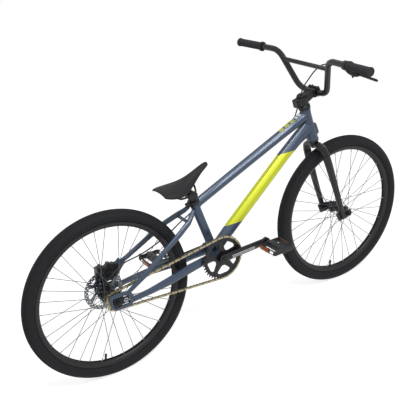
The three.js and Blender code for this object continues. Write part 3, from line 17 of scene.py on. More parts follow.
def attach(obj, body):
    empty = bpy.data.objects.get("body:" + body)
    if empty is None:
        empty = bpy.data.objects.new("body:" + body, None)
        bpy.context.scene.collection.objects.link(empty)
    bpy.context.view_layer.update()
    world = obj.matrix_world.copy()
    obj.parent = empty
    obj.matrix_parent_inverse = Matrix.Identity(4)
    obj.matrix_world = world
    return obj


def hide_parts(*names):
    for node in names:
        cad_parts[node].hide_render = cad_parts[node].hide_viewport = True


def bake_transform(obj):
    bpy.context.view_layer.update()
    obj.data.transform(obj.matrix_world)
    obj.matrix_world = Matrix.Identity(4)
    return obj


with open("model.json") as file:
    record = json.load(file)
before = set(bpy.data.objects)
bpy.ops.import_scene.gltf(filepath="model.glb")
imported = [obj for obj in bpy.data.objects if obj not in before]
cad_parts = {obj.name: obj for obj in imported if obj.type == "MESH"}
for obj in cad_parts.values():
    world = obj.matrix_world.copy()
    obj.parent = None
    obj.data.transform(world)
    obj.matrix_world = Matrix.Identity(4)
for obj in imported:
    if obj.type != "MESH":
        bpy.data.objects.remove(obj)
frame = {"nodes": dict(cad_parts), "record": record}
nodes = frame["nodes"]
body_of_node = {name: group for group, names in frame["record"]["behaviour"]["bodies"].items() for name in names}
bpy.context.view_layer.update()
MM = 0.001

# %% [markdown]
# ## Tools for the bench
# Every modelling operator works on what is selected, so each helper starts from nothing selected. A piece is
# finished when its place is in its mesh and its object sits at the origin, as the frame's own nodes do.

# %% Selecting, settling and joining
def nothing_selected():
    if bpy.context.object and bpy.context.object.mode != "OBJECT":
        bpy.ops.object.mode_set(mode="OBJECT")
    bpy.ops.object.select_all(action="DESELECT")


def work_on(piece):
    nothing_selected()
    piece.hide_viewport = False
    piece.select_set(True)
    bpy.context.view_layer.objects.active = piece
    return piece


def settled(piece, name):
    work_on(piece)
    bpy.ops.object.transform_apply(location=True, rotation=True, scale=True)
    piece.name = name
    return piece


def with_modifier(piece, kind, **settings):
    work_on(piece)
    modifier = piece.modifiers.new(kind.title(), kind)
    for setting, value in settings.items():
        setattr(modifier, setting, value)
    bpy.ops.object.modifier_apply(modifier=modifier.name)
    return piece


def smooth_shaded(piece, degrees=35):
    work_on(piece)
    bpy.ops.object.shade_smooth_by_angle(angle=math.radians(degrees))
    return piece


def in_edit(piece, step):
    """Runs one step of mesh work in edit mode with everything selected."""
    work_on(piece)
    bpy.ops.object.mode_set(mode="EDIT")
    bpy.ops.mesh.select_all(action="SELECT")
    step()
    bpy.ops.object.mode_set(mode="OBJECT")
    return piece


def repeated(name, model, places):
    """One mesh of copies of a modelled piece, one at each placing matrix."""
    gathered = bmesh.new()
    for place in places:
        data = model.data.copy()
        data.transform(place)
        if place.determinant() < 0:
            data.flip_normals()
        gathered.from_mesh(data)
        bpy.data.meshes.remove(data)
    mesh = bpy.data.meshes.new(name)
    gathered.to_mesh(mesh)
    gathered.free()
    piece = bpy.data.objects.new(name, mesh)
    bpy.context.scene.collection.objects.link(piece)
    bpy.data.objects.remove(model)
    return piece


def joined(name, pieces):
    nothing_selected()
    for piece in pieces:
        piece.select_set(True)
    bpy.context.view_layer.objects.active = pieces[0]
    bpy.ops.object.join()
    pieces[0].name = name
    return pieces[0]


def dressed(piece, material, body, replaces=()):
    piece.data.materials.clear()
    piece.data.materials.append(material)
    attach(piece, body)
    if replaces:
        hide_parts(*replaces)
    return piece


# %% [markdown]
# ## The camera
# The picture looks down at the bike from behind its right side. The lens and the place were solved from the
# outlines of the two wheels, whose true shape is a circle, so nothing here is guessed by eye.

# %% Camera from the solved view
LOOK = Vector((0.47577605, 0.77728455, -0.41166234))
CAMERA_PLACE = Vector((-1304.56569, -1972.05058, 1532.40483)) * MM
RIGHT = Vector((0.83341905, -0.54799809, -0.07148972))
FOCAL_PX = 735.3435
FRAME_PX = 416
SENSOR_MM = 36
camera = bpy.data.objects.new("camera", bpy.data.cameras.new("camera"))
bpy.context.scene.collection.objects.link(camera)
UP = RIGHT.cross(LOOK)
camera.matrix_world = Matrix.Translation(CAMERA_PLACE) @ Matrix((RIGHT, UP, -LOOK)).transposed().to_4x4()
camera.data.sensor_width = SENSOR_MM
camera.data.lens = FOCAL_PX / FRAME_PX * SENSOR_MM
bpy.context.scene.camera = camera

# %% [markdown]
# ## Colours and nodes
# Colours are picked as they look on a screen, in hex, and one function turns them to the linear values that
# the shader works with. One more function adds a node, sets it and links it.

# %% Hex to linear, and the node helper
def linear(code):
    values = [int(code[i:i + 2], 16) / 255 for i in (0, 2, 4)]
    return tuple(v / 12.92 if v <= 0.04045 else ((v + 0.055) / 1.055) ** 2.4 for v in values) + (1.0,)


def add_node(tree, kind, inputs=None, **settings):
    node = tree.nodes.new(kind)
    for setting, value in settings.items():
        setattr(node, setting, value)
    for socket, value in (inputs or {}).items():
        if isinstance(value, bpy.types.NodeSocket):
            tree.links.new(value, node.inputs[socket])
        else:
            node.inputs[socket].default_value = value
    return node


def new_material(name, colour, roughness, metallic=0.0, **sockets):
    material = bpy.data.materials.new(name)
    material.use_nodes = True
    shader = material.node_tree.nodes["Principled BSDF"]
    shader.inputs["Base Color"].default_value = linear(colour)
    shader.inputs["Roughness"].default_value = roughness
    shader.inputs["Metallic"].default_value = metallic
    for socket, value in sockets.items():
        shader.inputs[socket.replace("_", " ")].default_value = value
    return material


def place_of(tree, centre=(0, 0, 0), turn=(0, 0, 0), scale=(1, 1, 1)):
    """Object coordinates, moved so that the stated centre is the origin of the pattern."""
    coordinates = add_node(tree, "ShaderNodeTexCoord")
    moved = add_node(tree, "ShaderNodeVectorMath", {0: coordinates.outputs["Object"], 1: centre}, operation="SUBTRACT")
    mapping = add_node(tree, "ShaderNodeMapping", {"Vector": moved.outputs[0], "Rotation": turn, "Scale": scale})
    return mapping.outputs[0]


def speckled(material, grain_mm, dark, light, height_mm=0.0, strength=0.5, roughness=None, vector=None, detail=3.0):
    """Gives a material a fine mottling of colour, gloss and height, with grains of a real size."""
    tree = material.node_tree
    shader = tree.nodes["Principled BSDF"]
    vector = vector or place_of(tree)
    noise = add_node(tree, "ShaderNodeTexNoise", {"Vector": vector, "Scale": 1 / (grain_mm * MM), "Detail": detail})
    ramp = add_node(tree, "ShaderNodeMix", {0: noise.outputs[0], 6: linear(dark), 7: linear(light)}, data_type="RGBA")
    tree.links.new(ramp.outputs[2], shader.inputs["Base Color"])
    if roughness:
        spread = add_node(tree, "ShaderNodeMapRange", {0: noise.outputs[0], 1: 0.3, 2: 0.7, 3: roughness[0], 4: roughness[1]})
        tree.links.new(spread.outputs[0], shader.inputs["Roughness"])
    if height_mm:
        bump = add_node(tree, "ShaderNodeBump", {"Height": noise.outputs[0], "Distance": height_mm * MM, "Strength": strength})
        tree.links.new(bump.outputs[0], shader.inputs["Normal"])
    return material


# %% [markdown]
# ## Paint on the frame
# The frame is welded aluminium with a slate blue metallic paint under clear lacquer. The flakes are about
# 0.05 mm wide, far too fine to show, so they are drawn 1.5 mm wide and faint: they break the highlight up a
# little. A lacquer layer gives the hard, pale glints along the tubes.

# %% Slate blue metallic paint
def slate_paint(name):
    material = new_material(name, "33455c", 0.36, 0.25, Coat_Weight=0.3, Coat_Roughness=0.14)
    return speckled(material, 1.5, "2d3e54", "3a4d66", 0.01, 0.06, (0.32, 0.42))


frame_paint = slate_paint("slate_metallic_paint")

# %% [markdown]
# The down tube carries a plain lime panel between two slanted ends, and the front of the top tube a few small
# plain blocks. Paint has no thickness, so both are masks in the material: a place is measured along one
# direction, and the colour changes inside the limits. The panel's ends are level, so they cut the tube askew.

# %% Lime panel and small blocks as masks
def band_mask(tree, direction, start_mm, end_mm, soft_mm=0.4):
    """1 where the place along a direction lies between two lengths."""
    coordinates = add_node(tree, "ShaderNodeTexCoord")
    along = add_node(tree, "ShaderNodeVectorMath", {0: coordinates.outputs["Object"], 1: direction}, operation="DOT_PRODUCT")
    low = add_node(tree, "ShaderNodeMapRange", {0: along.outputs["Value"], 1: (start_mm - soft_mm) * MM, 2: (start_mm + soft_mm) * MM})
    high = add_node(tree, "ShaderNodeMapRange", {0: along.outputs["Value"], 1: (end_mm - soft_mm) * MM, 2: (end_mm + soft_mm) * MM})
    inside = add_node(tree, "ShaderNodeMath", {0: low.outputs[0], 1: high.outputs[0]}, operation="SUBTRACT")
    return inside.outputs[0]


def painted_over(material, mask, colour):
    """Lays a colour over what a material has now, where the mask is 1."""
    tree = material.node_tree
    base = tree.nodes["Principled BSDF"].inputs["Base Color"]
    below = base.links[0].from_socket
    layer = add_node(tree, "ShaderNodeMix", {0: mask, 6: below, 7: linear(colour)}, data_type="RGBA")
    tree.links.new(layer.outputs[2], base)
    return material


def all_of(tree, *masks):
    total = masks[0]
    for mask in masks[1:]:
        total = add_node(tree, "ShaderNodeMath", {0: total, 1: mask}, operation="MULTIPLY").outputs[0]
    return total


down_tube_paint = slate_paint("slate_paint_with_lime_panel")
PANEL_ENDS = Vector((0, 0.45, 1)).normalized()
PANEL_FOOT_MM, PANEL_TOP_MM = 362, 547
painted_over(down_tube_paint, band_mask(down_tube_paint.node_tree, PANEL_ENDS, PANEL_FOOT_MM, PANEL_TOP_MM), "cfd705")

top_tube_paint = slate_paint("slate_paint_with_small_blocks")
TOP_TUBE_DIRECTION = Vector((506, 0, 212)).normalized()
TOP_TUBE_UP = Vector((-212, 0, 506)).normalized()
BLOCKS = ((470, 490, "b9bf25"), (496, 516, "b9bf25"), (522, 542, "b9bf25"), (549, 559, "e4e7ec"), (563, 576, "e4e7ec"))
for start, end, colour in BLOCKS:
    tree = top_tube_paint.node_tree
    middle = band_mask(tree, Vector((0, -1, 0)), -6, 8)
    upper = band_mask(tree, TOP_TUBE_UP, 530, 580)
    painted_over(top_tube_paint, all_of(tree, band_mask(tree, TOP_TUBE_DIRECTION, start, end), middle, upper), colour)

# %% [markdown]
# ## Black finishes
# Four blacks lie side by side and must read apart: glossy powder coat on the fork and bar, satin anodising on
# the machined parts, darker hard anodising on the rims, and a forged and polished black on the cranks.

# %% Powder coat and anodised blacks
powder_black = speckled(new_material("gloss_black_powder_coat", "101113", 0.34, 0.0, Specular_IOR_Level=0.35),
    2.0, "0d0e10", "151619", 0.03, 0.25, (0.28, 0.4))
satin_black = speckled(new_material("satin_black_anodised_aluminium", "151619", 0.45, 0.3),
    0.8, "111215", "1b1c20", 0.01, 0.2, (0.38, 0.52))
rim_black = speckled(new_material("hard_black_anodised_rim", "121315", 0.42, 0.25),
    1.2, "0f1012", "18191c", 0.0, 0.0, (0.36, 0.48))
forged_black = speckled(new_material("forged_black_crank", "141518", 0.36, 0.3),
    1.0, "101114", "1a1b1f", 0.01, 0.2, (0.28, 0.42))

# %% [markdown]
# The outer face of the right crank arm has three pale milled stripes along it, the middle one finer.

# %% Milled stripes on the right arm
striped_black = speckled(new_material("forged_black_crank_with_milled_stripes", "141518", 0.36, 0.3),
    1.0, "101114", "1a1b1f", 0.01, 0.2, (0.28, 0.42))
ALONG_ARM, UP_ARM = Vector((0.9954, 0, 0.0958)), Vector((-0.0958, 0, 0.9954))
for low, high in ((-9, -6.8), (-4.6, -3.2), (-0.8, 1.4)):
    tree = striped_black.node_tree
    length = band_mask(tree, ALONG_ARM, -22, 70)
    width = band_mask(tree, UP_ARM, 315.3 + low, 315.3 + high, 0.15)
    outside = band_mask(tree, Vector((0, -1, 0)), 55, 100)
    painted_over(striped_black, all_of(tree, length, width, outside), "d9dce0")

# %% [markdown]
# ## Rubber and plastic
# Tyre rubber is a dry charcoal with moulding lines round its wall. Grips are softer and darker. Pedals and hose
# are moulded plastic, whose spark-eroded grain is about 0.3 mm and is drawn at 0.8 mm so that it shows.

# %% Tyre rubber with moulding rings
def tyre_rubber(name, centre):
    material = speckled(new_material(name, "1b1c1f", 0.8, Specular_IOR_Level=0.3), 3.0, "17181b", "202125", 0.08, 0.5, (0.7, 0.86))
    tree = material.node_tree
    coordinates = place_of(tree, centre, scale=(1, 0, 1))
    radius = add_node(tree, "ShaderNodeVectorMath", {0: coordinates}, operation="LENGTH")
    rings = add_node(tree, "ShaderNodeMath", {0: radius.outputs["Value"], 1: 2 * math.pi / (3.2 * MM)}, operation="MULTIPLY")
    wave = add_node(tree, "ShaderNodeMath", {0: rings.outputs[0]}, operation="SINE")
    bump = add_node(tree, "ShaderNodeBump", {"Height": wave.outputs[0], "Distance": 0.12 * MM, "Strength": 0.35})
    old = tree.nodes["Principled BSDF"].inputs["Normal"].links[0].from_socket
    tree.links.new(old, bump.inputs["Normal"])
    tree.links.new(bump.outputs[0], tree.nodes["Principled BSDF"].inputs["Normal"])
    return material


FRONT_AXLE = Vector((504, 0, 298)) * MM
REAR_AXLE = Vector((-504, 0, 298)) * MM
front_tyre_rubber = tyre_rubber("vulcanised_tyre_rubber_front", FRONT_AXLE)
rear_tyre_rubber = tyre_rubber("vulcanised_tyre_rubber_rear", REAR_AXLE)

# %% Grip rubber, tube rubber, plastics
grip_rubber = speckled(new_material("soft_grip_rubber", "222327", 0.82), 0.8, "1d1e21", "292a2e", 0.1, 0.5, (0.75, 0.9))
tube_rubber = speckled(new_material("butyl_tube_rubber", "1b1b1d", 0.6), 1.5, "171719", "202022", 0.05, 0.4, (0.5, 0.7))
pedal_plastic = speckled(new_material("glass_filled_nylon", "17181b", 0.6), 0.8, "131417", "1d1e22", 0.08, 0.5, (0.5, 0.7))
hose_plastic = speckled(new_material("extruded_hose_jacket", "1e1f22", 0.45), 1.0, "1a1b1e", "232427", 0.02, 0.3, (0.4, 0.52))
clip_plastic = speckled(new_material("moulded_clip_acetal", "1a1b1d", 0.5), 0.8, "161719", "202124", 0.05, 0.4, (0.42, 0.6))

# %% [markdown]
# The saddle cover is a thin black synthetic leather with a fine pebble grain, about 0.7 mm across.

# %% Saddle cover
saddle_cover_material = speckled(new_material("pebbled_synthetic_leather", "151618", 0.62, Specular_IOR_Level=0.35),
    6.0, "121315", "191a1d", 0.0, 0.0, (0.55, 0.7))
tree = saddle_cover_material.node_tree
pebbles = add_node(tree, "ShaderNodeTexVoronoi", {"Vector": place_of(tree), "Scale": 1 / (1.2 * MM)}, feature="SMOOTH_F1")
bump = add_node(tree, "ShaderNodeBump", {"Height": pebbles.outputs["Distance"], "Distance": 0.15 * MM, "Strength": 0.35})
tree.links.new(bump.outputs[0], tree.nodes["Principled BSDF"].inputs["Normal"])

# %% [markdown]
# ## Bare metals
# Spokes are drawn stainless wire, nuts are zinc plated, and the chain has a warm champagne plating. The brake
# rotor is ground in circles, so its scratches run round the axle: a noise is squeezed along the radius only.

# %% Wire, zinc, chain plating and ground rotor steel
spoke_steel = speckled(new_material("drawn_stainless_wire", "55585c", 0.36, 0.85), 2.0, "4d5054", "5f6266", 0.0, 0.0, (0.25, 0.38))
zinc_steel = speckled(new_material("zinc_plated_steel", "a4a7ab", 0.35, 0.9), 1.5, "989b9f", "b1b4b8", 0.01, 0.2, (0.28, 0.45))
black_steel = speckled(new_material("black_oxide_steel", "202124", 0.38, 0.6), 1.0, "1b1c1e", "27282b", 0.01, 0.2, (0.3, 0.45))
chain_plating = speckled(new_material("champagne_plated_steel", "aba189", 0.34, 0.8), 1.2, "9b9179", "b9b294", 0.01, 0.2, (0.28, 0.42))
inner_link_steel = speckled(new_material("oiled_inner_link_steel", "7d735b", 0.45, 0.65), 1.2, "6d644e", "8d8268", 0.01, 0.2, (0.38, 0.52))
milled_aluminium = speckled(new_material("milled_aluminium", "a9acb1", 0.34, 0.85), 0.6, "9c9fa4", "b6b9bd", 0.01, 0.3, (0.3, 0.42))
rotor_steel = new_material("ground_rotor_steel", "76797d", 0.34, 0.85)
tree = rotor_steel.node_tree
flat = place_of(tree, REAR_AXLE, scale=(1, 0, 1))
radius = add_node(tree, "ShaderNodeVectorMath", {0: flat}, operation="LENGTH")
circles = add_node(tree, "ShaderNodeTexNoise", {"W": radius.outputs["Value"], "Scale": 1 / (0.7 * MM), "Detail": 2.0}, noise_dimensions="1D")
tones = add_node(tree, "ShaderNodeMix", {0: circles.outputs[0], 6: linear("63666a"), 7: linear("8b8e92")}, data_type="RGBA")
tree.links.new(tones.outputs[2], tree.nodes["Principled BSDF"].inputs["Base Color"])
bump = add_node(tree, "ShaderNodeBump", {"Height": circles.outputs[0], "Distance": 0.02 * MM, "Strength": 0.4})
tree.links.new(bump.outputs[0], tree.nodes["Principled BSDF"].inputs["Normal"])

# %% [markdown]
# The pedals carry amber reflectors: clear plastic over rows of small prisms, which show as a fine hexagon net.

# %% Amber reflector
amber = new_material("amber_prism_reflector", "b4560c", 0.3, Specular_IOR_Level=0.4)
tree = amber.node_tree
cells = add_node(tree, "ShaderNodeTexVoronoi", {"Vector": place_of(tree), "Scale": 1 / (3.0 * MM), "Randomness": 0.0})
tones = add_node(tree, "ShaderNodeMix", {0: cells.outputs["Distance"], 6: linear("d06a12"), 7: linear("8a3c06")}, data_type="RGBA")
tree.links.new(tones.outputs[2], tree.nodes["Principled BSDF"].inputs["Base Color"])
bump = add_node(tree, "ShaderNodeBump", {"Height": cells.outputs["Distance"], "Distance": 0.4 * MM, "Strength": 0.5})
tree.links.new(bump.outputs[0], tree.nodes["Principled BSDF"].inputs["Normal"])

# %% [markdown]
# ## Softening the frame's own solids
# A solid from the workshop has edges like knives. Real tubes are formed with soft corners, and a machined
# block has its edges broken by half a millimetre, which is what catches the light. One could model each piece
# again, but its shape is already true, so a copy of each solid is merged, its edges are rounded by a bevel
# of the real width, and the copy takes its place.

# %% A copy with its edges rounded
def merged_copy(node, name):
    piece = bpy.data.objects.new(name, nodes[node].data.copy())
    bpy.context.scene.collection.objects.link(piece)
    work_on(piece)
    if piece.data.has_custom_normals:
        bpy.ops.mesh.customdata_custom_splitnormals_clear()
    in_edit(piece, lambda: bpy.ops.mesh.remove_doubles(threshold=0.001 * MM))
    return in_edit(piece, lambda: bpy.ops.mesh.dissolve_limited(angle_limit=math.radians(1)))


def rounded_edges(piece, width_mm, low=28, high=181, segments=2):
    """Bevels the edges whose faces turn by an angle between low and high, in degrees."""
    cage = bmesh.new()
    cage.from_mesh(piece.data)
    weight = cage.edges.layers.float.new("bevel_weight_edge")
    for edge in cage.edges:
        turn = math.degrees(edge.calc_face_angle(0.0))
        edge[weight] = 1.0 if low < turn < high else 0.0
    cage.to_mesh(piece.data)
    cage.free()
    return with_modifier(piece, "BEVEL", width=width_mm * MM, segments=segments, limit_method="WEIGHT")


def refined(node, material, width_mm=0.6, low=28, high=181, segments=2, smooth=38):
    piece = rounded_edges(merged_copy(node, node + "_finished"), width_mm, low, high, segments)
    smooth_shaded(piece, smooth)
    return dressed(piece, material, body_of_node[node], [node])


# %% Formed tubes of the frame and fork: wide soft corners along their length
for node in ("top_tube", "down_tube", "chainstay_left", "chainstay_right", "seatstay_left", "seatstay_right"):
    paint = {"top_tube": top_tube_paint, "down_tube": down_tube_paint}.get(node, frame_paint)
    refined(node, paint, 3.0 if "stay" not in node else 2.2, low=20, high=62, segments=3, smooth=40)
for node in ("seat_tube", "head_tube", "bottom_bracket_shell", "seatstay_bridge"):
    refined(node, frame_paint, 0.8, low=40, smooth=50)
for node in ("dropout_left", "dropout_right"):
    refined(node, frame_paint, 0.9, low=30, smooth=40)
for node in ("fork_leg_left", "fork_leg_right", "fork_crown"):
    refined(node, powder_black, 2.0, low=20, high=62, segments=3, smooth=45)
for node in ("handlebar",):
    refined(node, powder_black, 3.5, low=30, high=62, segments=3, smooth=55)

# %% Machined and forged pieces: broken edges
SATIN = ("seat_clamp", "headset_lower_bearing", "headset_upper_bearing", "headset_cone", "stem_faceplate",
    "top_cap", "brake_lever_body", "brake_lever", "seat_post", "saddle_clamp",
    "bottom_bracket_cup_left", "bottom_bracket_cup_right")
for node in SATIN:
    refined(node, satin_black, 0.7, low=32, smooth=42)
for node, finish in (("crank_arm_left", forged_black), ("crank_arm_right", striped_black)):
    refined(node, finish, 1.8, low=20, high=80, segments=3, smooth=45)
refined("chainring", forged_black, 0.25, low=40, smooth=30)
refined("rear_cog", chain_plating, 0.25, low=40, smooth=30)
for node in ("front_axle", "rear_axle", "pedal_axle_left", "pedal_axle_right"):
    refined(node, black_steel, 0.4, low=40, smooth=35)
for node in ("chain_tensioner_left", "chain_tensioner_right"):
    refined(node, satin_black, 0.5, low=40, smooth=35)
for node in ("brake_pad_inner", "brake_pad_outer"):
    refined(node, zinc_steel, 0.3, low=40, smooth=30)
for node in ("front_inner_tube", "rear_inner_tube"):
    refined(node, tube_rubber, 0.6, low=20, high=70, smooth=60)

# %% [markdown]
# ## Welds
# Where aluminium tubes meet, the welder leaves a bead of small overlapping waves. The line that it follows is
# the edge of the tube's cut end, so that edge is found on the solid, near its neighbour, and a round bead with
# waves 3.5 mm apart is laid along it. Without the beads, the joints look like pieces pushed together.

# %% Beads along the joint lines
def solid_tree(node):
    data = nodes[node].data
    return BVHTree.FromPolygons([v.co for v in data.vertices], [tuple(p.vertices) for p in data.polygons])


def joint_line(node, host, reach_mm=1.0, turn=35):
    """The longest closed run of sharp edges on a node that lies close to its host."""
    cage = bmesh.new()
    cage.from_mesh(nodes[node].data)
    bmesh.ops.remove_doubles(cage, verts=cage.verts, dist=0.001 * MM)
    bmesh.ops.dissolve_limit(cage, angle_limit=math.radians(1), verts=cage.verts, edges=cage.edges)
    tree = solid_tree(host)
    near = {v for v in cage.verts if tree.find_nearest(v.co)[3] < reach_mm * MM}
    edges = [e for e in cage.edges if e.verts[0] in near and e.verts[1] in near and e.calc_face_angle(0.0) > math.radians(turn)]
    links = {}
    for edge in edges:
        a, b = edge.verts
        links.setdefault(a, []).append(b)
        links.setdefault(b, []).append(a)
    best, seen = [], set()
    for start in sorted(links, key=lambda v: v.index):
        if start in seen:
            continue
        path = [start]
        seen.add(start)
        while True:
            onward = [v for v in links[path[-1]] if v not in seen]
            if not onward:
                break
            path.append(onward[0])
            seen.add(onward[0])
        if sum((path[i].co - path[i - 1].co).length for i in range(len(path))) > \
                sum((best[i] - best[i - 1]).length for i in range(len(best))):
            best = [v.co.copy() for v in path]
    cage.free()
    return best


def bead(name, line, radius_mm=1.7, wave_mm=3.5):
    total, points = 0.0, []
    for i, here in enumerate(line):
        onward = line[(i + 1) % len(line)]
        length = (onward - here).length
        steps = max(1, round(length / (1.0 * MM)))
        points += [(here.lerp(onward, k / steps), total + length * k / steps) for k in range(steps)]
        total += length
    curve = bpy.data.curves.new(name, "CURVE")
    curve.dimensions = "3D"
    curve.bevel_depth = radius_mm * MM
    curve.bevel_resolution = 2
    spline = curve.splines.new("POLY")
    spline.points.add(len(points) - 1)
    spline.use_cyclic_u = True
    for point, (place, gone) in zip(spline.points, points):
        point.co = (*place, 1.0)
        point.radius = 1.0 + 0.14 * math.sin(2 * math.pi * gone / (wave_mm * MM))
    bead_object = bpy.data.objects.new(name, curve)
    bpy.context.scene.collection.objects.link(bead_object)
    work_on(bead_object)
    bpy.ops.object.convert(target="MESH")
    return bpy.context.object


WELDED = (("top_tube", "head_tube"), ("down_tube", "head_tube"), ("top_tube", "seat_tube"),
    ("down_tube", "bottom_bracket_shell"), ("seat_tube", "bottom_bracket_shell"),
    ("chainstay_left", "bottom_bracket_shell"), ("chainstay_right", "bottom_bracket_shell"),
    ("seatstay_left", "seat_tube"), ("seatstay_right", "seat_tube"), ("seatstay_bridge", "seatstay_left"),
    ("seatstay_bridge", "seatstay_right"), ("seatstay_left", "dropout_left"), ("seatstay_right", "dropout_right"),
    ("chainstay_left", "dropout_left"), ("chainstay_right", "dropout_right"), ("down_tube", "top_tube"),
    ("top_tube", "down_tube"))
beads = []
for node, host in WELDED:
    line = joint_line(node, host)
    length = sum((line[i] - line[i - 1]).length for i in range(len(line)))
    print("weld", node, host, len(line), round(length / MM))
    if len(line) > 4:
        beads.append(bead("bead", line))
welds = smooth_shaded(joined("frame_welds", beads), 60)
dressed(welds, frame_paint, "frame")

# %% [markdown]
# ## Tyres and rims
# A tyre is a casing with a rounded crown and low tread blocks in rows, and a rim is a hollow box with two
# hooked edges. Both are turned shapes: the cross-section is drawn once and spun round the axle in small
# steps, so the outline stays round close up. The tread blocks are one block, repeated round each row.

# %% Spinning a cross-section
def spun(name, half, axle, steps=144):
    """Spins a closed cross-section, given as places across and out from the axle in mm."""
    points = [(axle.x, axle.y + y * MM, axle.z + r * MM) for y, r in half]
    mesh = bpy.data.meshes.new(name)
    mesh.from_pydata(points, [(i, (i + 1) % len(points)) for i in range(len(points))], [])
    piece = bpy.data.objects.new(name, mesh)
    bpy.context.scene.collection.objects.link(piece)
    in_edit(piece, lambda: bpy.ops.mesh.spin(steps=steps, angle=2 * math.pi, center=axle, axis=(0, 1, 0)))
    in_edit(piece, lambda: bpy.ops.mesh.remove_doubles(threshold=0.01 * MM))
    return in_edit(piece, lambda: bpy.ops.mesh.normals_make_consistent(inside=False))


def both_sides(half):
    return half + [(-y, r) for y, r in reversed(half) if y > 0]


def out_and_back(outer, inner):
    return both_sides(outer[::-1])[::-1] + both_sides(inner[::-1])


TYRE_OUTSIDE = [(11.4, 253.9), (11.4, 259.9), (13.6, 261.2), (18.2, 265.5), (21.2, 270.5), (22.4, 276), (22.2, 281),
    (20.6, 286.5), (17.6, 291), (13, 294.4), (7.5, 296.4), (2.5, 297)]
TYRE_INSIDE = [(8.4, 253.9), (8.4, 257), (14, 264), (19.3, 274), (19.3, 277.5), (16.2, 287), (11.7, 292)]
RIM_OUTSIDE = [(4, 242.5), (8, 243.4), (11.4, 247.6), (13.5, 252.4), (13.9, 255), (13.9, 258.9), (13.4, 259.5),
    (12.3, 259.5), (11.8, 258.8)]
RIM_INSIDE = [(11.7, 254), (10.4, 250.6), (7, 246.2), (3.6, 245)]


def ring_outline(outside, inside):
    """Right side out, over the crown, and back along the inside."""
    return outside + [(-y, r) for y, r in reversed(outside)] + [(-y, r) for y, r in inside] + list(reversed(inside))


TREAD_ROWS = ((0, 297.1, 0), (5.2, 296.9, 9), (10.2, 295.6, 20), (15, 293.2, 33))
TREAD_PITCH_MM = 7.2


def tread_block():
    bpy.ops.mesh.primitive_cube_add(size=1)
    block = bpy.context.object
    block.scale = (4.6 * MM, 3.4 * MM, 2.4 * MM)
    settled(block, "tread_block")
    work_on(block)
    bpy.ops.object.mode_set(mode="EDIT")
    bpy.ops.mesh.select_all(action="DESELECT")
    cage = bmesh.from_edit_mesh(block.data)
    for face in cage.faces:
        face.select = face.normal.z > 0.9
    bmesh.update_edit_mesh(block.data)
    bpy.ops.mesh.inset(thickness=0.5 * MM, depth=0.35 * MM)
    bpy.ops.object.mode_set(mode="OBJECT")
    return block


def tread(name, axle):
    places = []
    for across, radius, lean in TREAD_ROWS:
        count = round(2 * math.pi * radius / TREAD_PITCH_MM)
        for side in ((1,) if across == 0 else (-1, 1)):
            for k in range(count):
                turn = Matrix.Rotation(2 * math.pi * (k + (across > 5 and 0.5)) / count, 4, "Y")
                lift = Matrix.Translation((0, side * across * MM, (radius - 0.55) * MM))
                places.append(Matrix.Translation(axle) @ turn @ lift @ Matrix.Rotation(math.radians(-side * lean), 4, "X"))
    return repeated(name, tread_block(), places)


for end, axle, rubber in (("front", FRONT_AXLE, front_tyre_rubber), ("rear", REAR_AXLE, rear_tyre_rubber)):
    casing = spun(end + "_casing", ring_outline(TYRE_OUTSIDE, TYRE_INSIDE), axle)
    smooth_shaded(casing, 40)
    blocks = tread(end + "_tread", axle)
    tyre = joined(end + "_tyre_with_tread", [casing, blocks])
    dressed(tyre, rubber, end + "_wheel", [end + "_tyre"])
    rim = spun(end + "_rim_hooked", ring_outline(RIM_OUTSIDE, RIM_INSIDE), axle)
    smooth_shaded(rim, 40)
    dressed(rim, rim_black, end + "_wheel", [end + "_rim"])
print("tyre triangles", sum(len(p.vertices) - 2 for p in tyre.data.polygons))

# %% [markdown]
# ## Hubs and spokes
# Each wheel has 36 spokes, crossing three times, from two flanges to the rim, where a nipple holds each one.
# The lacing follows the rule that a wheel builder uses: every other spoke goes to the same flange, and in
# each flange they lean forward and back by turns. A spoke is modelled once as a thin rod between two points.

# %% Rods between two points
def rod_model(name, sides, profile):
    """A unit rod along Z, of length 1, with the stated radii along it."""
    bpy.ops.mesh.primitive_cylinder_add(vertices=sides, radius=1, depth=1, location=(0, 0, 0.5))
    rod = settled(bpy.context.object, name)
    cuts = len(profile) - 2
    if cuts:
        work_on(rod)
        bpy.ops.object.mode_set(mode="EDIT")
        for share, _ in profile[1:-1]:
            bpy.ops.mesh.select_all(action="SELECT")
            bpy.ops.mesh.bisect(plane_co=(0, 0, share), plane_no=(0, 0, 1))
        bpy.ops.object.mode_set(mode="OBJECT")
    for vertex in rod.data.vertices:
        share, radius = min(profile, key=lambda row: abs(row[0] - vertex.co.z))
        vertex.co.x *= radius
        vertex.co.y *= radius
    return rod


def between(start, end, radius_mm):
    axis = end - start
    turn = axis.to_track_quat("Z", "Y").to_matrix().to_4x4()
    return Matrix.Translation(start) @ turn @ Matrix.Diagonal((radius_mm * MM, radius_mm * MM, axis.length, 1))


SPOKES = 36
SPOKE_LEAN = math.radians(62)
RIM_FACE_MM = 242.5


def lacing(flange_radius, right_flange, left_flange):
    """Hub end and rim end of each spoke, from the axle, in metres."""
    rows = []
    for i in range(SPOKES):
        flange = right_flange if i % 2 else left_flange
        leads = 1 if i % 4 < 2 else -1
        rim_angle = 2 * math.pi * (i + 0.5) / SPOKES
        hub_angle = rim_angle + leads * SPOKE_LEAN
        foot = flange_radius - 4
        start = Vector((foot * math.cos(hub_angle), flange + leads * 1.8, foot * math.sin(hub_angle))) * MM
        tip = math.copysign(3, flange)
        end = Vector((RIM_FACE_MM * math.cos(rim_angle), tip, RIM_FACE_MM * math.sin(rim_angle))) * MM
        rows.append((start, end))
    return rows


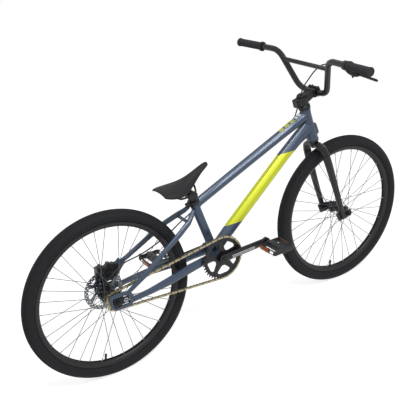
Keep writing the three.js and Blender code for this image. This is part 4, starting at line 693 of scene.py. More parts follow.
FRONT_HUB = [(45, 5.3), (45, 12), (43.5, 14), (38, 15), (31.5, 15.4), (31.5, 23.6), (30.9, 24), (29.1, 24), (28.5, 23.6), (28.5, 17.5),
    (24, 14.6), (12, 13.4), (-12, 13.4), (-24, 14.6), (-28.5, 17.5), (-28.5, 23.6), (-29.1, 24), (-30.9, 24), (-31.5, 23.6),
    (-31.5, 15.4), (-38, 15), (-43.5, 14), (-45, 12), (-45, 5.3)]
REAR_HUB = [(53, 5.3), (53, 13), (51.5, 15), (41.8, 15), (41.8, 23.6), (41.2, 24), (34.4, 24), (33.8, 23.6), (33.8, 17), (27.5, 17),
    (27.5, 29.6), (26.9, 30), (25.1, 30), (24.5, 29.6), (24.5, 21), (20, 18.8), (8, 18), (-11, 18), (-23, 18.8), (-27.5, 21),
    (-27.5, 29.6), (-28.1, 30), (-29.9, 30), (-30.5, 29.6), (-30.5, 15), (-51.5, 15), (-53, 13), (-53, 5.3)]
for end, axle, outline, sizes in (("front", FRONT_AXLE, FRONT_HUB, (24, -30, 30)), ("rear", REAR_AXLE, REAR_HUB, (30, -29, 26))):
    shell = smooth_shaded(spun(end + "_hub_shell", outline, axle, 48), 32)
    dressed(shell, satin_black, end + "_wheel", [end + "_hub"])
    rows = [(axle + a, axle + b) for a, b in lacing(*sizes)]
    spokes = repeated(end + "_spokes", rod_model("spoke", 8, [(0, 1), (1, 1)]), [between(a, b, 1.0) for a, b in rows])
    smooth_shaded(spokes, 60)
    dressed(spokes, spoke_steel, end + "_wheel", [end + "_hub"])
    nipple = rod_model("nipple", 8, [(0, 0.75), (0.12, 1), (1, 1)])
    nipples = repeated(end + "_nipples", nipple, [between(b - (b - a).normalized() * 11 * MM, b + (b - a).normalized() * 1.5 * MM, 1.9) for a, b in rows])
    smooth_shaded(nipples, 60)
    dressed(nipples, zinc_steel, end + "_wheel")
    heads = repeated(end + "_spoke_heads", rod_model("head", 8, [(0, 0.7), (0.4, 1), (1, 0.6)]),
        [between(a + Vector((0, -1.2 * MM, 0)), a + Vector((0, 1.2 * MM, 0)), 2.1) for a, b in rows])
    dressed(smooth_shaded(heads, 50), zinc_steel, end + "_wheel")

# %% [markdown]
# ## Brake rotor
# A rotor is a flat ground ring on curved arms, drilled all round to shed water. The solid has its arms and
# windows, and the holes are cut here with one boolean, from pins set in two staggered rings.

# %% Drilled rotor
rotor = merged_copy("brake_rotor", "rotor_drilled")
bpy.ops.mesh.primitive_cylinder_add(vertices=10, radius=2.3 * MM, depth=12 * MM)
pin = settled(bpy.context.object, "pin")
holes = []
for ring_mm, shift in ((59.8, 0), (65.8, 0.5)):
    for k in range(28):
        turn = 2 * math.pi * (k + shift) / 28
        place = REAR_AXLE + Vector((ring_mm * math.cos(turn), 43, ring_mm * math.sin(turn))) * MM
        holes.append(Matrix.Translation(place) @ Matrix.Rotation(math.pi / 2, 4, "X"))
pins = repeated("rotor_pins", pin, holes)
with_modifier(rotor, "BOOLEAN", object=pins, operation="DIFFERENCE", solver="EXACT")
bpy.data.objects.remove(pins)
smooth_shaded(rotor, 25)
dressed(rotor, rotor_steel, "rear_wheel", ["brake_rotor"])

# %% [markdown]
# ## Chain
# A bicycle chain is two kinds of link by turns: inner links with bushings and rollers, and outer links riveted
# over them. Both have plates with a waist. One half pitch of each is modelled with real sizes, and copies
# follow the path that the solid takes: round the ring, along the top, round the cog and back below.

# %% The path: where each joint of the chain lies
PITCH = 12.7
RING_TEETH, COG_TEETH = 39, 16
CRANK_AXLE = Vector((-84.1, 0, 308.7))
CHAIN_LINE = 48
ring_radius = PITCH / (2 * math.sin(math.pi / RING_TEETH))
cog_radius = PITCH / (2 * math.sin(math.pi / COG_TEETH))
span = Vector((CRANK_AXLE.x + 504, CRANK_AXLE.z - 298))
wrap_lean = math.acos((cog_radius - ring_radius) / span.length)
span_length = math.sqrt(span.length_squared - (ring_radius - cog_radius) ** 2)
top_angle = math.atan2(span.y, span.x) + wrap_lean
ring_wrap, cog_wrap = 2 * wrap_lean, 2 * (math.pi - wrap_lean)


def on_ring(turn):
    return Vector((CRANK_AXLE.x + ring_radius * math.cos(top_angle - turn), CRANK_AXLE.z + ring_radius * math.sin(top_angle - turn)))


def on_cog(turn):
    return Vector((-504 + cog_radius * math.cos(top_angle + turn), 298 + cog_radius * math.sin(top_angle + turn)))


def cog_entry(rest):
    low, high = 0.0, 2 * math.pi / COG_TEETH
    for _ in range(60):
        turn = (low + high) / 2
        if math.hypot(rest + cog_radius * math.sin(turn), cog_radius * (1 - math.cos(turn))) < PITCH:
            low = turn
        else:
            high = turn
    return low


def chain_joints():
    joints = []
    ring_step, cog_step = 2 * math.pi / RING_TEETH, 2 * math.pi / COG_TEETH
    top_links = int(span_length // PITCH)
    for i in range(top_links + 1):
        joints.append(on_ring(0).lerp(on_cog(0), i * PITCH / span_length))
    entry = cog_entry(span_length - top_links * PITCH)
    cog_steps = int((cog_wrap - entry) // cog_step)
    joints += [on_cog(entry + k * cog_step) for k in range(cog_steps + 1)]
    last = entry + cog_steps * cog_step
    leave = (cog_wrap - last) * cog_radius
    ring_steps = int(ring_wrap // ring_step)
    arrive = (ring_wrap - ring_steps * ring_step) * ring_radius
    reach = leave + span_length + arrive
    links = round(reach / PITCH)
    for i in range(1, links):
        gone = i * reach / links
        share = (gone - leave) / span_length
        if share < 0:
            joints.append(on_cog(last + gone / cog_radius))
        elif share > 1:
            joints.append(on_ring(ring_wrap - (gone - leave - span_length) / ring_radius))
        else:
            joints.append(on_cog(cog_wrap).lerp(on_ring(ring_wrap), share))
    return joints + [on_ring(k * ring_step) for k in range(ring_steps, 0, -1)]


# %% The two links, modelled along X with the joints at both ends
def plate(height_mm, waist_share, thickness_mm):
    """A plate with round ends and a waist, from a grown and pinched rod of 2D outline."""
    outline, half = [], height_mm / 2
    for side in (1, -1):
        for k in range(9):
            turn = math.radians(-75 + 150 * k / 8)
            outline.append((side * (PITCH / 2 + half * math.cos(turn)), side * half * math.sin(turn)))
        outline.append((0, side * half * waist_share))
    mesh = bpy.data.meshes.new("plate")
    mesh.from_pydata([(x * MM, 0, z * MM) for x, z in outline], [], [list(range(len(outline)))])
    piece = bpy.data.objects.new("plate", mesh)
    bpy.context.scene.collection.objects.link(piece)
    with_modifier(piece, "SOLIDIFY", thickness=thickness_mm * MM, offset=0)
    return piece


def moved(piece, offset_mm):
    piece.location = Vector(offset_mm) * MM
    return settled(piece, piece.name)


def link(outer):
    near = 3.42 if outer else 2.2
    sides = [moved(plate(8.0 if outer else 8.4, 0.62 if outer else 0.72, 1.1), (0, side * near, 0)) for side in (-1, 1)]
    for x in ((-PITCH / 2, PITCH / 2) if outer else (-PITCH / 2, PITCH / 2)):
        radius, length = (1.8, 8.6) if outer else (3.75, 3.1)
        bpy.ops.mesh.primitive_cylinder_add(vertices=12, radius=radius * MM, depth=length * MM)
        bar = bpy.context.object
        bar.rotation_euler = (math.pi / 2, 0, 0)
        bar.location = (x * MM, 0, 0)
        sides.append(settled(bar, "bar"))
    return joined("outer_link" if outer else "inner_link", sides)


joints = chain_joints()
for outer in (True, False):
    places = []
    for i, start in enumerate(joints):
        if (i % 2 == 1) != outer:
            continue
        end = joints[(i + 1) % len(joints)]
        middle, along = (start + end) / 2, end - start
        place = Matrix.Translation(Vector((middle.x, -CHAIN_LINE, middle.y)) * MM)
        lean = Matrix.Rotation(-math.atan2(along.y, along.x), 4, "Y")
        places.append(place @ lean @ Matrix.Diagonal((along.length / PITCH, 1, 1, 1)))
    name, finish = ("chain_outer_links", chain_plating) if outer else ("chain_inner_links", inner_link_steel)
    links = smooth_shaded(repeated(name, link(outer), places), 35)
    dressed(links, finish, "frame", ["chain"])

# %% [markdown]
# ## Saddle
# A race saddle is a narrow moulded shell under a thin padded cover: a wide, slightly dished rear, wings that
# roll over, and a long nose that kicks up. A block could be sculpted, but the real one is lofted, so its
# cross-sections are set along its length, joined, and smoothed with a subdivision surface.

# %% Lofted saddle cover
REAR_MM, NOSE_MM, HALF_WIDTH_MM = 220, 416, 60
SADDLE_STATIONS = ((0, 0.7, 604, 7), (0.06, 0.9, 607, 13), (0.2, 1, 610, 22), (0.36, 0.86, 614, 29), (0.48, 0.62, 620, 33),
    (0.6, 0.44, 629, 33), (0.7, 0.34, 637, 26), (0.8, 0.27, 646, 17), (0.9, 0.23, 654, 11), (0.97, 0.18, 658, 8), (1, 0.1, 656, 4))
SADDLE_ARC = ((1, 1), (0.93, 0.72), (0.82, 0.48), (0.64, 0.24), (0.4, 0.07), (0.2, -0.01), (0, 0))
COVER_THICKNESS_MM = 7.4


def saddle_section(share, width, top, droop):
    half = HALF_WIDTH_MM * width
    x = REAR_MM + share * (NOSE_MM - REAR_MM) - 504
    over = [(a * half, -b * droop) for a, b in SADDLE_ARC]
    over += [(-a, b) for a, b in reversed(over[:-1])]
    thick = min(COVER_THICKNESS_MM, droop + 3)
    under = [(a * (1 - 2 / (half + 1)), b - thick) for a, b in reversed(over)]
    return [Vector((x, -y, top + z)) * MM for y, z in over + under]


rings = [saddle_section(*station) for station in SADDLE_STATIONS]
count = len(rings[0])
faces = [[r * count + k, r * count + (k + 1) % count, (r + 1) * count + (k + 1) % count, (r + 1) * count + k]
    for r in range(len(rings) - 1) for k in range(count)]
over_count = len(SADDLE_ARC) * 2 - 1
for r in (0, len(rings) - 1):
    base = r * count
    for k in range(over_count - 1):
        quad = [base + k, base + k + 1, base + count - 2 - k, base + count - 1 - k]
        faces.append(quad if r else quad[::-1])
mesh = bpy.data.meshes.new("saddle_cover")
mesh.from_pydata([p for ring in rings for p in ring], [], faces)
saddle = bpy.data.objects.new("saddle_cover", mesh)
bpy.context.scene.collection.objects.link(saddle)
in_edit(saddle, lambda: bpy.ops.mesh.normals_make_consistent(inside=False))
with_modifier(saddle, "SUBSURF", levels=2, render_levels=2)
smooth_shaded(saddle, 70)
dressed(saddle, saddle_cover_material, "seat", ["saddle"])

# %% [markdown]
# Below the cover the rails plug into two moulded sockets at the rear, and end up inside the nose.

# %% Sockets under the saddle
sockets = []
for side in (-1, 1):
    start, end = Vector((-256, side * 34.6, 589.5)) * MM, Vector((-238, side * 31, 582.5)) * MM
    bpy.ops.mesh.primitive_cylinder_add(vertices=20, radius=1, depth=1, location=(0, 0, 0.5))
    socket = settled(bpy.context.object, "socket")
    socket.matrix_world = between(start, end, 6.4)
    sockets.append(settled(socket, "socket"))
sockets = joined("saddle_sockets", sockets)
with_modifier(sockets, "BEVEL", width=1.2 * MM, segments=2, limit_method="ANGLE", angle_limit=math.radians(40))
dressed(smooth_shaded(sockets, 40), clip_plastic, "seat", ["saddle"])

# %% [markdown]
# ## Grips
# A grip is a rubber sleeve with a wide collar at its inner end, fine ribs for the hand, and a plug that closes
# the tube. Ribs are 3.2 mm apart. It is turned in one go from its cross-section, on the line of the bar end.

# %% The steering's own directions, and the line of the grips
STEER_X = Vector((0.9626917464, 0, 0.2706004460))
STEER_Z = Vector((-0.2706004460, 0, 0.9626917464))
STEER_BASE = Vector((469.4393663, 0, 288.2854440))


def on_steering(x, y, z):
    return (STEER_BASE + STEER_X * x + Vector((0, y, 0)) + STEER_Z * z) * MM


GRIP_ROOT = (57.594, 0, 659.68)


def grip_line(side):
    direction = (STEER_X * -0.07744 + Vector((0, side * 0.99659, 0)) + STEER_Z * 0.0286).normalized()
    turn = Vector((0, side, 0)).rotation_difference(direction).to_matrix().to_4x4()
    return Matrix.Translation(on_steering(*GRIP_ROOT)) @ turn


def turned(name, outline, steps=40):
    """Spins an open outline that starts and ends on the Y axis, or a closed one clear of it."""
    piece_outline = [(0.0, y * MM, r * MM) for y, r in outline]
    on_axis = outline[0][1] == 0
    edges = [(i, i + 1) for i in range(len(outline) - 1)] + ([] if on_axis else [(len(outline) - 1, 0)])
    mesh = bpy.data.meshes.new(name)
    mesh.from_pydata(piece_outline, edges, [])
    piece = bpy.data.objects.new(name, mesh)
    bpy.context.scene.collection.objects.link(piece)
    in_edit(piece, lambda: bpy.ops.mesh.spin(steps=steps, angle=2 * math.pi, center=(0, 0, 0), axis=(0, 1, 0)))
    in_edit(piece, lambda: bpy.ops.mesh.remove_doubles(threshold=0.01 * MM))
    return in_edit(piece, lambda: bpy.ops.mesh.normals_make_consistent(inside=False))


def grip_outline(start):
    ribs = []
    place = start + 10
    while place < 340:
        ribs += [(place, 13.5), (place + 0.5, 14.2), (place + 2.2, 14.2), (place + 2.7, 13.5)]
        place += 3.2
    half = [(start, 11.5), (start, 16.9), (start + 0.6, 17.5), (start + 6.2, 17.5), (start + 7, 16.8), (start + 7.4, 14.4)]
    return [(346.4, 0), (346.4, 11.5)] + half + ribs + [(343.5, 14.2), (344.3, 15.6), (348.6, 15.6), (349.7, 14.6), (349.9, 0)]


for name, side, start in (("left", 1, 218), ("right", -1, 242)):
    grip = turned("grip_" + name + "_ribbed", [(side * y, r) for y, r in grip_outline(start)])
    grip.data.transform(grip_line(side))
    smooth_shaded(grip, 35)
    dressed(grip, grip_rubber, "steering", ["grip_" + name])

# %% [markdown]
# ## Brake hose
# One hose runs from the lever, behind the bar, to the frame, and along the frame to the calliper. Its front
# run bends as the bar turns on the bike; here it is laid as one fixed tube.

# %% Hose runs, their end sleeves and their clips
FRONT_ROUTE = ((854.8, -203.2, 930.9), (867, -180, 929), (876, -150, 926), (885, -90, 914), (888, -45, 902), (887, -12, 879),
    (879, 12, 848), (866, 31, 812), (852, 31, 780), (838, 29, 748), (826.8, 27.4, 726.3), (824, 27, 721))
REAR_ROUTE = ((823.84, 26.98, 720.7), (821, 26.6, 715.4), (800, 24, 700), (760, 23, 670), (700, 22, 641), (600, 21, 598),
    (500, 20.5, 556), (410, 21, 516), (372, 24, 492), (345, 34, 468), (318, 46, 446), (263, 51, 411), (201, 50, 388),
    (150, 46, 377), (105, 44.5, 372), (70, 44, 366))


def flowing(route, steps=8):
    """Points on a smooth curve through the stations of a route."""
    points = [Vector((x - 504, y, z)) * MM for x, y, z in route]
    ends = [points[0] * 2 - points[1]] + points + [points[-1] * 2 - points[-2]]
    line = []
    for i in range(1, len(ends) - 2):
        a, b, c, d = ends[i - 1:i + 3]
        for k in range(steps):
            t = k / steps
            line.append(0.5 * ((2 * b) + (c - a) * t + (2 * a - 5 * b + 4 * c - d) * t ** 2 + (3 * b - a - 3 * c + d) * t ** 3))
    return line + [points[-1]]


def tube_along(name, line, radius_mm):
    curve = bpy.data.curves.new(name, "CURVE")
    curve.dimensions = "3D"
    curve.bevel_depth = radius_mm * MM
    curve.bevel_resolution = 3
    curve.use_fill_caps = True
    spline = curve.splines.new("POLY")
    spline.points.add(len(line) - 1)
    for point, place in zip(spline.points, line):
        point.co = (*place, 1.0)
    tube = bpy.data.objects.new(name, curve)
    bpy.context.scene.collection.objects.link(tube)
    work_on(tube)
    bpy.ops.object.convert(target="MESH")
    return smooth_shaded(bpy.context.object, 60)


RAIL_ROUTE = ((250, 34, 588), (270, 28.5, 576), (290, 22.6, 564), (300, 22, 562), (338, 22, 562), (350, 20, 567), (354, 13, 582), (352, 7, 598), (350, 5, 612))
rails = []
for side in (-1, 1):
    rails.append(tube_along("rail", flowing([(x, side * y, z) for x, y, z in RAIL_ROUTE], 5), 3.5))
rails = smooth_shaded(joined("saddle_rail_pair", rails), 60)
dressed(rails, black_steel, "seat", ["saddle_rails"])


front_hose = tube_along("brake_hose_front_run", flowing(FRONT_ROUTE), 2.5)
front_hose.data.materials.append(hose_plastic)
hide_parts("brake_hose_front")
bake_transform(front_hose)
rear_hose = tube_along("brake_hose_rear_run", flowing(REAR_ROUTE), 2.5)
dressed(rear_hose, hose_plastic, "frame", ["brake_hose_rear"])

rear_line = flowing(REAR_ROUTE)
clips = []
for station in (3, 5, 7, 11, 13):
    here = rear_line[station * 8]
    ahead = (rear_line[station * 8 + 1] - here).normalized()
    clips.append(between(here - ahead * 4 * MM, here + ahead * 4 * MM, 4.0))
clips = repeated("hose_clips", rod_model("clip", 12, [(0, 0.82), (0.2, 1), (0.8, 1), (1, 0.82)]), clips)
dressed(smooth_shaded(clips, 40), clip_plastic, "frame")
sleeve = between(rear_line[-1], rear_line[-6], 3.4)
sleeve = repeated("hose_sleeve_rear", rod_model("sleeve", 14, [(0, 1), (0.6, 1), (1, 0.8)]), [sleeve])
dressed(smooth_shaded(sleeve, 40), clip_plastic, "frame")
front_line = flowing(FRONT_ROUTE)
sleeve = repeated("hose_sleeve_front", rod_model("sleeve", 14, [(0, 1), (0.6, 1), (1, 0.8)]), [between(front_line[0], front_line[4], 3.4)])
dressed(smooth_shaded(sleeve, 40), clip_plastic, "steering")

# %% [markdown]
# ## Stem
# The stem is forged in one piece: a clamp round the steerer with two ears behind it, a deep neck, and a seat
# for the bar. Each is a primitive in the steering's own frame. Booleans join them and cut the bore and slot.

# %% Forged stem
STEERING_PLACE = Matrix((STEER_X, (0, 1, 0), STEER_Z)).transposed().to_4x4()
STEERING_PLACE.translation = STEER_BASE * MM


def block(name, low, high):
    bpy.ops.mesh.primitive_cube_add(size=1)
    piece = bpy.context.object
    piece.scale = (Vector(high) - Vector(low)) * MM
    piece.location = (Vector(high) + Vector(low)) / 2 * MM
    return settled(piece, name)


def barrel(name, radius, start, end, sides=32):
    """A cylinder between two points in millimetres."""
    model = rod_model("rod", sides, [(0, 1), (1, 1)])
    return repeated(name, model, [between(Vector(start) * MM, Vector(end) * MM, radius)])


def corners_rounded(piece, radius_mm, segments):
    """Rounds the upright edges of a block."""
    for edge in piece.data.edges:
        low, high = (piece.data.vertices[i].co for i in edge.vertices)
        edge.select = (low - high).xy.length < 0.01 * MM
    work_on(piece)
    bpy.ops.object.mode_set(mode="EDIT")
    bpy.ops.mesh.select_mode(type="EDGE")
    bpy.ops.mesh.bevel(offset=radius_mm * MM, segments=segments)
    bpy.ops.mesh.select_mode(type="VERT")
    bpy.ops.object.mode_set(mode="OBJECT")
    return piece


def carved(piece, operation, *tools):
    for tool in tools:
        with_modifier(piece, "BOOLEAN", object=tool, operation=operation, solver="EXACT")
        bpy.data.objects.remove(tool)
    return piece


stem = barrel("stem_forged", 19.6, (0, 0, 494.2), (0, 0, 525.8), 40)
neck = block("neck", (2, -15, 496), (44, 15, 524))
for vertex in neck.data.vertices:
    if vertex.co.x > 20 * MM:
        vertex.co.z += (7 if vertex.co.z > 510 * MM else 11) * MM
        vertex.co.y *= 1.2
ears = block("ears", (-36, -12.5, 495.5), (0, 12.5, 524.5))
seat_block = block("bar_seat", (38.9, -23, 503), (54.8, 23, 532.5))
carved(stem, "UNION", ears, neck, seat_block)
carved(stem, "DIFFERENCE", barrel("bar_bore", 11.4, (54.9, -30, 517.7), (54.9, 30, 517.7)),
    block("slot", (-40, -1, 490), (-17, 1, 530)))
with_modifier(stem, "BEVEL", width=2.4 * MM, segments=3, limit_method="ANGLE", angle_limit=math.radians(32))
stem.data.transform(STEERING_PLACE)
dressed(smooth_shaded(stem, 40), satin_black, "steering", ["stem"])

# %% [markdown]
# ## Brake calliper
# The cast body straddles the rotor, with three round lugs along its back, a piston boss on each side and a
# pocket between them. The solid has the outline and the slot for the rotor. Cutters take out the hollows.

# %% Calliper with lugs, bosses and pockets
def at_rear(x, y, z):
    return (x - 504, y, z + 298)


LUGS = ((-3, 79), (30, 82), (55, 77))
calliper = merged_copy("brake_caliper", "brake_calliper_cast")
cutters = [barrel("notch", r, at_rear(x, 20, z), at_rear(x, 60, z), 24) for x, z, r in ((13.5, 95, 10.5), (42.5, 96, 8.5), (-14, 58, 7), (66, 56, 6))]
cutters += [block("pocket", at_rear(-10, 30, 64), at_rear(52, 36.8, 73)), block("pocket", at_rear(42, 30, 44), at_rear(54, 36.8, 58))]
carved(calliper, "DIFFERENCE", *cutters)
additions = [barrel("lug", 7.6, at_rear(x, 32.5, z), at_rear(x, 54.6, z), 24) for x, z in LUGS]
additions += [barrel("boss", 13, at_rear(24, 31.5, 54), at_rear(24, 36, 54), 32)]
additions = [rounded_edges(piece, 1.0, low=40) for piece in additions]
with_modifier(calliper, "BEVEL", width=0.9 * MM, segments=2, limit_method="ANGLE", angle_limit=math.radians(35))
calliper = smooth_shaded(joined("brake_calliper_cast", [calliper] + additions), 40)
dressed(calliper, satin_black, "frame", ["brake_caliper"])

# %% [markdown]
# ## Slider plates in the dropouts
# Ahead of the axle block a dark plate closes the dropout's window, and a steel collar guides the tensioner's
# screw. Both are pressed parts with rounded corners, kept inside the thickness of the dropout.

# %% Slider plate and collar on each side
plates, collars = [], []
for side in (-1, 1):
    low, high = sorted((side * 58.6, side * 62.0))
    corner, opposite = at_rear(14.5, low, -12.5), at_rear(43.5, high, 12.5)
    plates.append(block("slider", corner, opposite))
    ring = barrel("collar", 8, at_rear(30, side * 58.8, 0), at_rear(30, side * 64.2, 0), 28)
    collars.append(carved(ring, "DIFFERENCE", barrel("eye", 4.4, at_rear(30, side * 62.4, 0), at_rear(30, side * 66, 0), 20)))
plates = rounded_edges(joined("dropout_sliders", plates), 1.2)
dressed(smooth_shaded(plates, 40), satin_black, "frame")
collars = rounded_edges(joined("tensioner_collars", collars), 0.6, low=40)
dressed(smooth_shaded(collars, 40), zinc_steel, "frame")

# %% [markdown]
# ## Bolts
# Most of the bolts are socket head screws: a short cylinder with a broken edge and a hexagon socket. One is
# modelled at unit size. To sit it right on the surface, a ray is cast at the solid, and the head stands
# where the ray lands.

# %% One socket head, set where a ray lands
def socket_head():
    bpy.ops.mesh.primitive_cylinder_add(vertices=18, radius=1, depth=1, location=(0, 0, 0.5))
    head = settled(bpy.context.object, "socket_head")
    bpy.ops.mesh.primitive_cylinder_add(vertices=6, radius=0.5, depth=1, location=(0, 0, 1.0))
    hexagon = settled(bpy.context.object, "hexagon")
    with_modifier(head, "BOOLEAN", object=hexagon, operation="DIFFERENCE", solver="EXACT")
    bpy.data.objects.remove(hexagon)
    with_modifier(head, "BEVEL", width=0.09, segments=2, limit_method="ANGLE", angle_limit=math.radians(60))
    return head


trees = {}
for piece in (stem, calliper):
    trees[piece.name] = BVHTree.FromPolygons([v.co.copy() for v in piece.data.vertices], [list(p.vertices) for p in piece.data.polygons])


def landing(node, origin, direction):
    if node not in trees:
        trees[node] = solid_tree(node)
    return trees[node].ray_cast(origin, direction.normalized())[0]


def in_bike(x, y, z):
    return Vector((x - 504, y, z)) * MM


ACROSS_LEFT, ACROSS_RIGHT = Vector((0, 1, 0)), Vector((0, -1, 0))
BOLTS = [
    ("crank", "crank_arm_right", in_bike(419.9, -120, 308.7), ACROSS_LEFT, 9, 2.2),
    ("crank", "crank_arm_left", in_bike(419.9, 120, 308.7), ACROSS_RIGHT, 9, 2.2),
    ("steering", "top_cap", on_steering(0, 0, 600), -STEER_Z, 5.5, 1.6),
    ("frame", "dropout_left", in_bike(-8, 120, 298 + 40), ACROSS_RIGHT, 4.6, 4),
    ("frame", "dropout_left", in_bike(-8, 120, 298 + 74), ACROSS_RIGHT, 4.6, 4),
    ("frame", "brake_calliper_cast", in_bike(26, 120, 298 + 58), ACROSS_RIGHT, 7.5, 1.6),
    ("frame", "brake_calliper_cast", in_bike(24, 0, 298 + 54), ACROSS_LEFT, 7.5, 1.6),
    ("seat", "saddle_clamp", in_bike(337, 0, 640), Vector((0, 0, -1)), 5.0, 3.0),
    ("frame", "seat_clamp", in_bike(323, -60, 527), ACROSS_LEFT, 3.6, 2.6),
]
for x, z in LUGS:
    BOLTS.append(("frame", "brake_calliper_cast", in_bike(x, 0, 298 + z), ACROSS_LEFT, 4.2, 3.2))
    BOLTS.append(("frame", "brake_calliper_cast", in_bike(x, 120, 298 + z), ACROSS_RIGHT, 4.2, 3.2))
for z in (502, 518):
    BOLTS.append(("steering", "stem_forged", on_steering(-29, -40, z), ACROSS_LEFT, 4.2, 3.4))
for y in (-15.5, 15.5):
    for z in (-12.5, 12.5):
        BOLTS.append(("steering", "stem_faceplate", on_steering(110, y, 517.7 + z), -STEER_X, 3.6, 3.0))
lever_pin, pin_axis = Vector((347.328, -251.089, 915.650)) * MM, Vector((-0.75346777, 0.05788696, -0.65493162))
for side in (-1, 1):
    BOLTS.append(("steering", "brake_lever_body", lever_pin + pin_axis * side * 0.05, pin_axis * -side, 3.6, 1.4))
for k in range(5):
    turn = math.radians(20 + 72 * k)
    BOLTS.append(("crank", "chainring", in_bike(419.9 + 68.5 * math.cos(turn), -120, 308.7 + 68.5 * math.sin(turn)), ACROSS_LEFT, 3.2, 1.2))
for k in range(6):
    turn = math.radians(30 + 60 * k)
    BOLTS.append(("rear_wheel", "brake_rotor", in_bike(20.5 * math.cos(turn), 120, 298 + 20.5 * math.sin(turn)), ACROSS_RIGHT, 3.2, 1.8))
by_body = {}
for body, node, origin, direction, radius, height in BOLTS:
    place = landing(node, origin, direction)
    if place is None:
        print("no landing on", node, tuple(round(v, 3) for v in origin))
        continue
    out = -direction.normalized()
    by_body.setdefault(body, []).append(between(place - out * 0.4 * MM, place + out * height * MM, radius))
for body, places in by_body.items():
    heads = smooth_shaded(repeated(body + "_bolts", socket_head(), places), 35)
    dressed(heads, black_steel, body)
print("bolts", {body: len(places) for body, places in by_body.items()})

# %% [markdown]
# ## Pedals
# The cage is thin and open: two large windows beside the barrel, and one through the front and rear wall beside
# the amber reflector. Short steel pins bite the sole.

# %% Open cages, pins and reflectors
for name, side, centre in (("right", -1, Vector((90.094, -133, 325.473))), ("left", 1, Vector((-258.294, 133, 291.927)))):
    cage = corners_rounded(block("pedal_cage_" + name, (-43, -45, -10.5), (43, 45, 10.5)), 8, 3)
    windows = []
    for end in (-1, 1):
        near, far = sorted((end * 11.8, end * 38.6))
        windows.append(corners_rounded(block("window", (near, -40, -20), (far, 40, 20)), 5, 2))
        near, far = sorted((end * 30, end * 50))
        low, high = sorted((side * 13, side * 36))
        windows.append(block("window", (near, low, -6.3), (far, high, 6.3)))
    carved(cage, "DIFFERENCE", *windows)
    carved(cage, "UNION", barrel("barrel", 11.5, (0, -45.3, 0), (0, 45.3, 0), 24))
    carved(cage, "DIFFERENCE", barrel("bore", 5.7, (0, -41.1 * -side, 0), (0, 50 * -side, 0), 16))
    with_modifier(cage, "BEVEL", width=0.8 * MM, segments=2, limit_method="ANGLE", angle_limit=math.radians(35))
    cage.data.transform(Matrix.Translation(centre * MM))
    dressed(smooth_shaded(cage, 40), pedal_plastic, "pedal_" + name, ["pedal_" + name])
    places = []
    for x in (-40.8, 40.8):
        for y in (-30, -10, 10, 30):
            for up in (1, -1):
                origin = (centre + Vector((x, y, 60 * up))) * MM
                place = landing("pedal_" + name, origin, Vector((0, 0, -up)))
                if place:
                    places.append(between(place, place + Vector((0, 0, up * 1.8 * MM)), 1.2))
    pins = repeated("pedal_pins_" + name, rod_model("pin", 8, [(0, 1), (0.8, 1), (1, 0.7)]), places)
    dressed(smooth_shaded(pins, 50), black_steel, "pedal_" + name)
    plates = []
    for end in (-1, 1):
        bpy.ops.mesh.primitive_cube_add(size=1)
        reflector = bpy.context.object
        reflector.scale = Vector((3, 47, 13.5)) * MM
        reflector.location = (centre + Vector((end * 43.2, -side * 13.5, 0))) * MM
        plates.append(settled(reflector, "reflector"))
    reflectors = joined("pedal_reflectors_" + name, plates)
    with_modifier(reflectors, "BEVEL", width=0.8 * MM, segments=2, limit_method="ANGLE", angle_limit=math.radians(40))
    dressed(smooth_shaded(reflectors, 40), amber, "pedal_" + name)

# %% Valve caps at the tips of the two valves
for end, axle in (("front", FRONT_AXLE), ("rear", REAR_AXLE)):
    points = [v.co.copy() for v in nodes[end + "_inner_tube"].data.vertices]
    nearest = min((p - axle).length for p in points)
    tips = [p for p in points if (p - axle).length < nearest + 1 * MM]
    tip = sum(tips, Vector()) / len(tips)
    inward = Vector((axle.x - tip.x, 0, axle.z - tip.z)).normalized()
    cap = repeated(end + "_valve_cap", rod_model("cap", 12, [(0, 1), (0.1, 1), (0.8, 0.95), (1, 0.6)]),
        [between(tip - inward * 8 * MM, tip + inward * 2 * MM, 4.4)])
    dressed(smooth_shaded(cap, 40), clip_plastic, end + "_wheel")
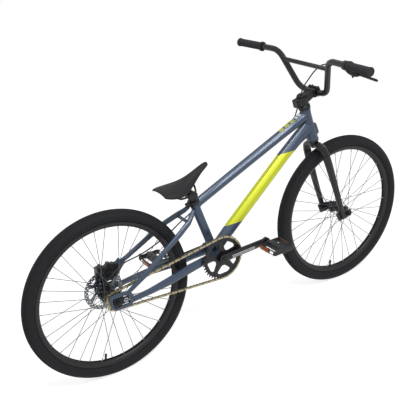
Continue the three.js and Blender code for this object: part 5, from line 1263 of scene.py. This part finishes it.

# %% [markdown]
# ## Floor, light and air
# The picture was taken on white with soft light from above. A pale floor and a white world that only the
# camera and reflections see at full strength keep the ground white, and two large lamps shape the tubes.

# %% Floor
bpy.ops.mesh.primitive_plane_add(size=14, location=(0, 0, 0))
floor = settled(bpy.context.object, "floor")
floor_paint = new_material("white_paper_sweep", "c9c9c9", 0.9)
tree = floor_paint.node_tree
rays = add_node(tree, "ShaderNodeLightPath")
seen = add_node(tree, "ShaderNodeMath", {0: rays.outputs["Is Camera Ray"], 1: rays.outputs["Is Glossy Ray"]}, operation="MAXIMUM")
glow = add_node(tree, "ShaderNodeEmission", {"Color": (1, 1, 1, 1), "Strength": 0.76})
dark = add_node(tree, "ShaderNodeEmission", {"Color": (0, 0, 0, 1), "Strength": 0.0})
lift = add_node(tree, "ShaderNodeMixShader", {0: seen.outputs[0], 1: dark.outputs[0], 2: glow.outputs[0]})
total = add_node(tree, "ShaderNodeAddShader", {0: tree.nodes["Principled BSDF"].outputs[0], 1: lift.outputs[0]})
tree.links.new(total.outputs[0], tree.nodes["Material Output"].inputs["Surface"])
floor.data.materials.append(floor_paint)

# %% World
world = bpy.data.worlds.new("white_room")
bpy.context.scene.world = world
world.use_nodes = True
tree = world.node_tree
rays = add_node(tree, "ShaderNodeLightPath")
seen = add_node(tree, "ShaderNodeMath", {0: rays.outputs["Is Camera Ray"], 1: rays.outputs["Is Glossy Ray"]}, operation="MAXIMUM")
both = add_node(tree, "ShaderNodeMath", {0: seen.outputs[0], 1: rays.outputs["Is Transmission Ray"]}, operation="MAXIMUM")
level = add_node(tree, "ShaderNodeMapRange", {0: both.outputs[0], 3: 0.32, 4: 1.0})
tree.links.new(level.outputs[0], tree.nodes["Background"].inputs["Strength"])
tree.nodes["Background"].inputs["Color"].default_value = (1, 1, 1, 1)

# %% Lamps: place, size and power
LAMPS = (("key_right", (-0.2, -1.9, 3.1), (2.4, 0.3), 60), ("top_back", (-1.6, 0.6, 3.2), (1.4, 1.4), 8))
for name, place, sides, power in LAMPS:
    data = bpy.data.lights.new(name, "AREA")
    data.shape = "RECTANGLE"
    data.energy = power
    data.size, data.size_y = sides
    lamp = bpy.data.objects.new(name, data)
    bpy.context.scene.collection.objects.link(lamp)
    lamp.location = place
    lamp.rotation_euler = (Vector((0, 0, 0.4)) - Vector(place)).to_track_quat("-Z", "Y").to_euler()
bpy.context.scene.view_settings.view_transform = "Standard"
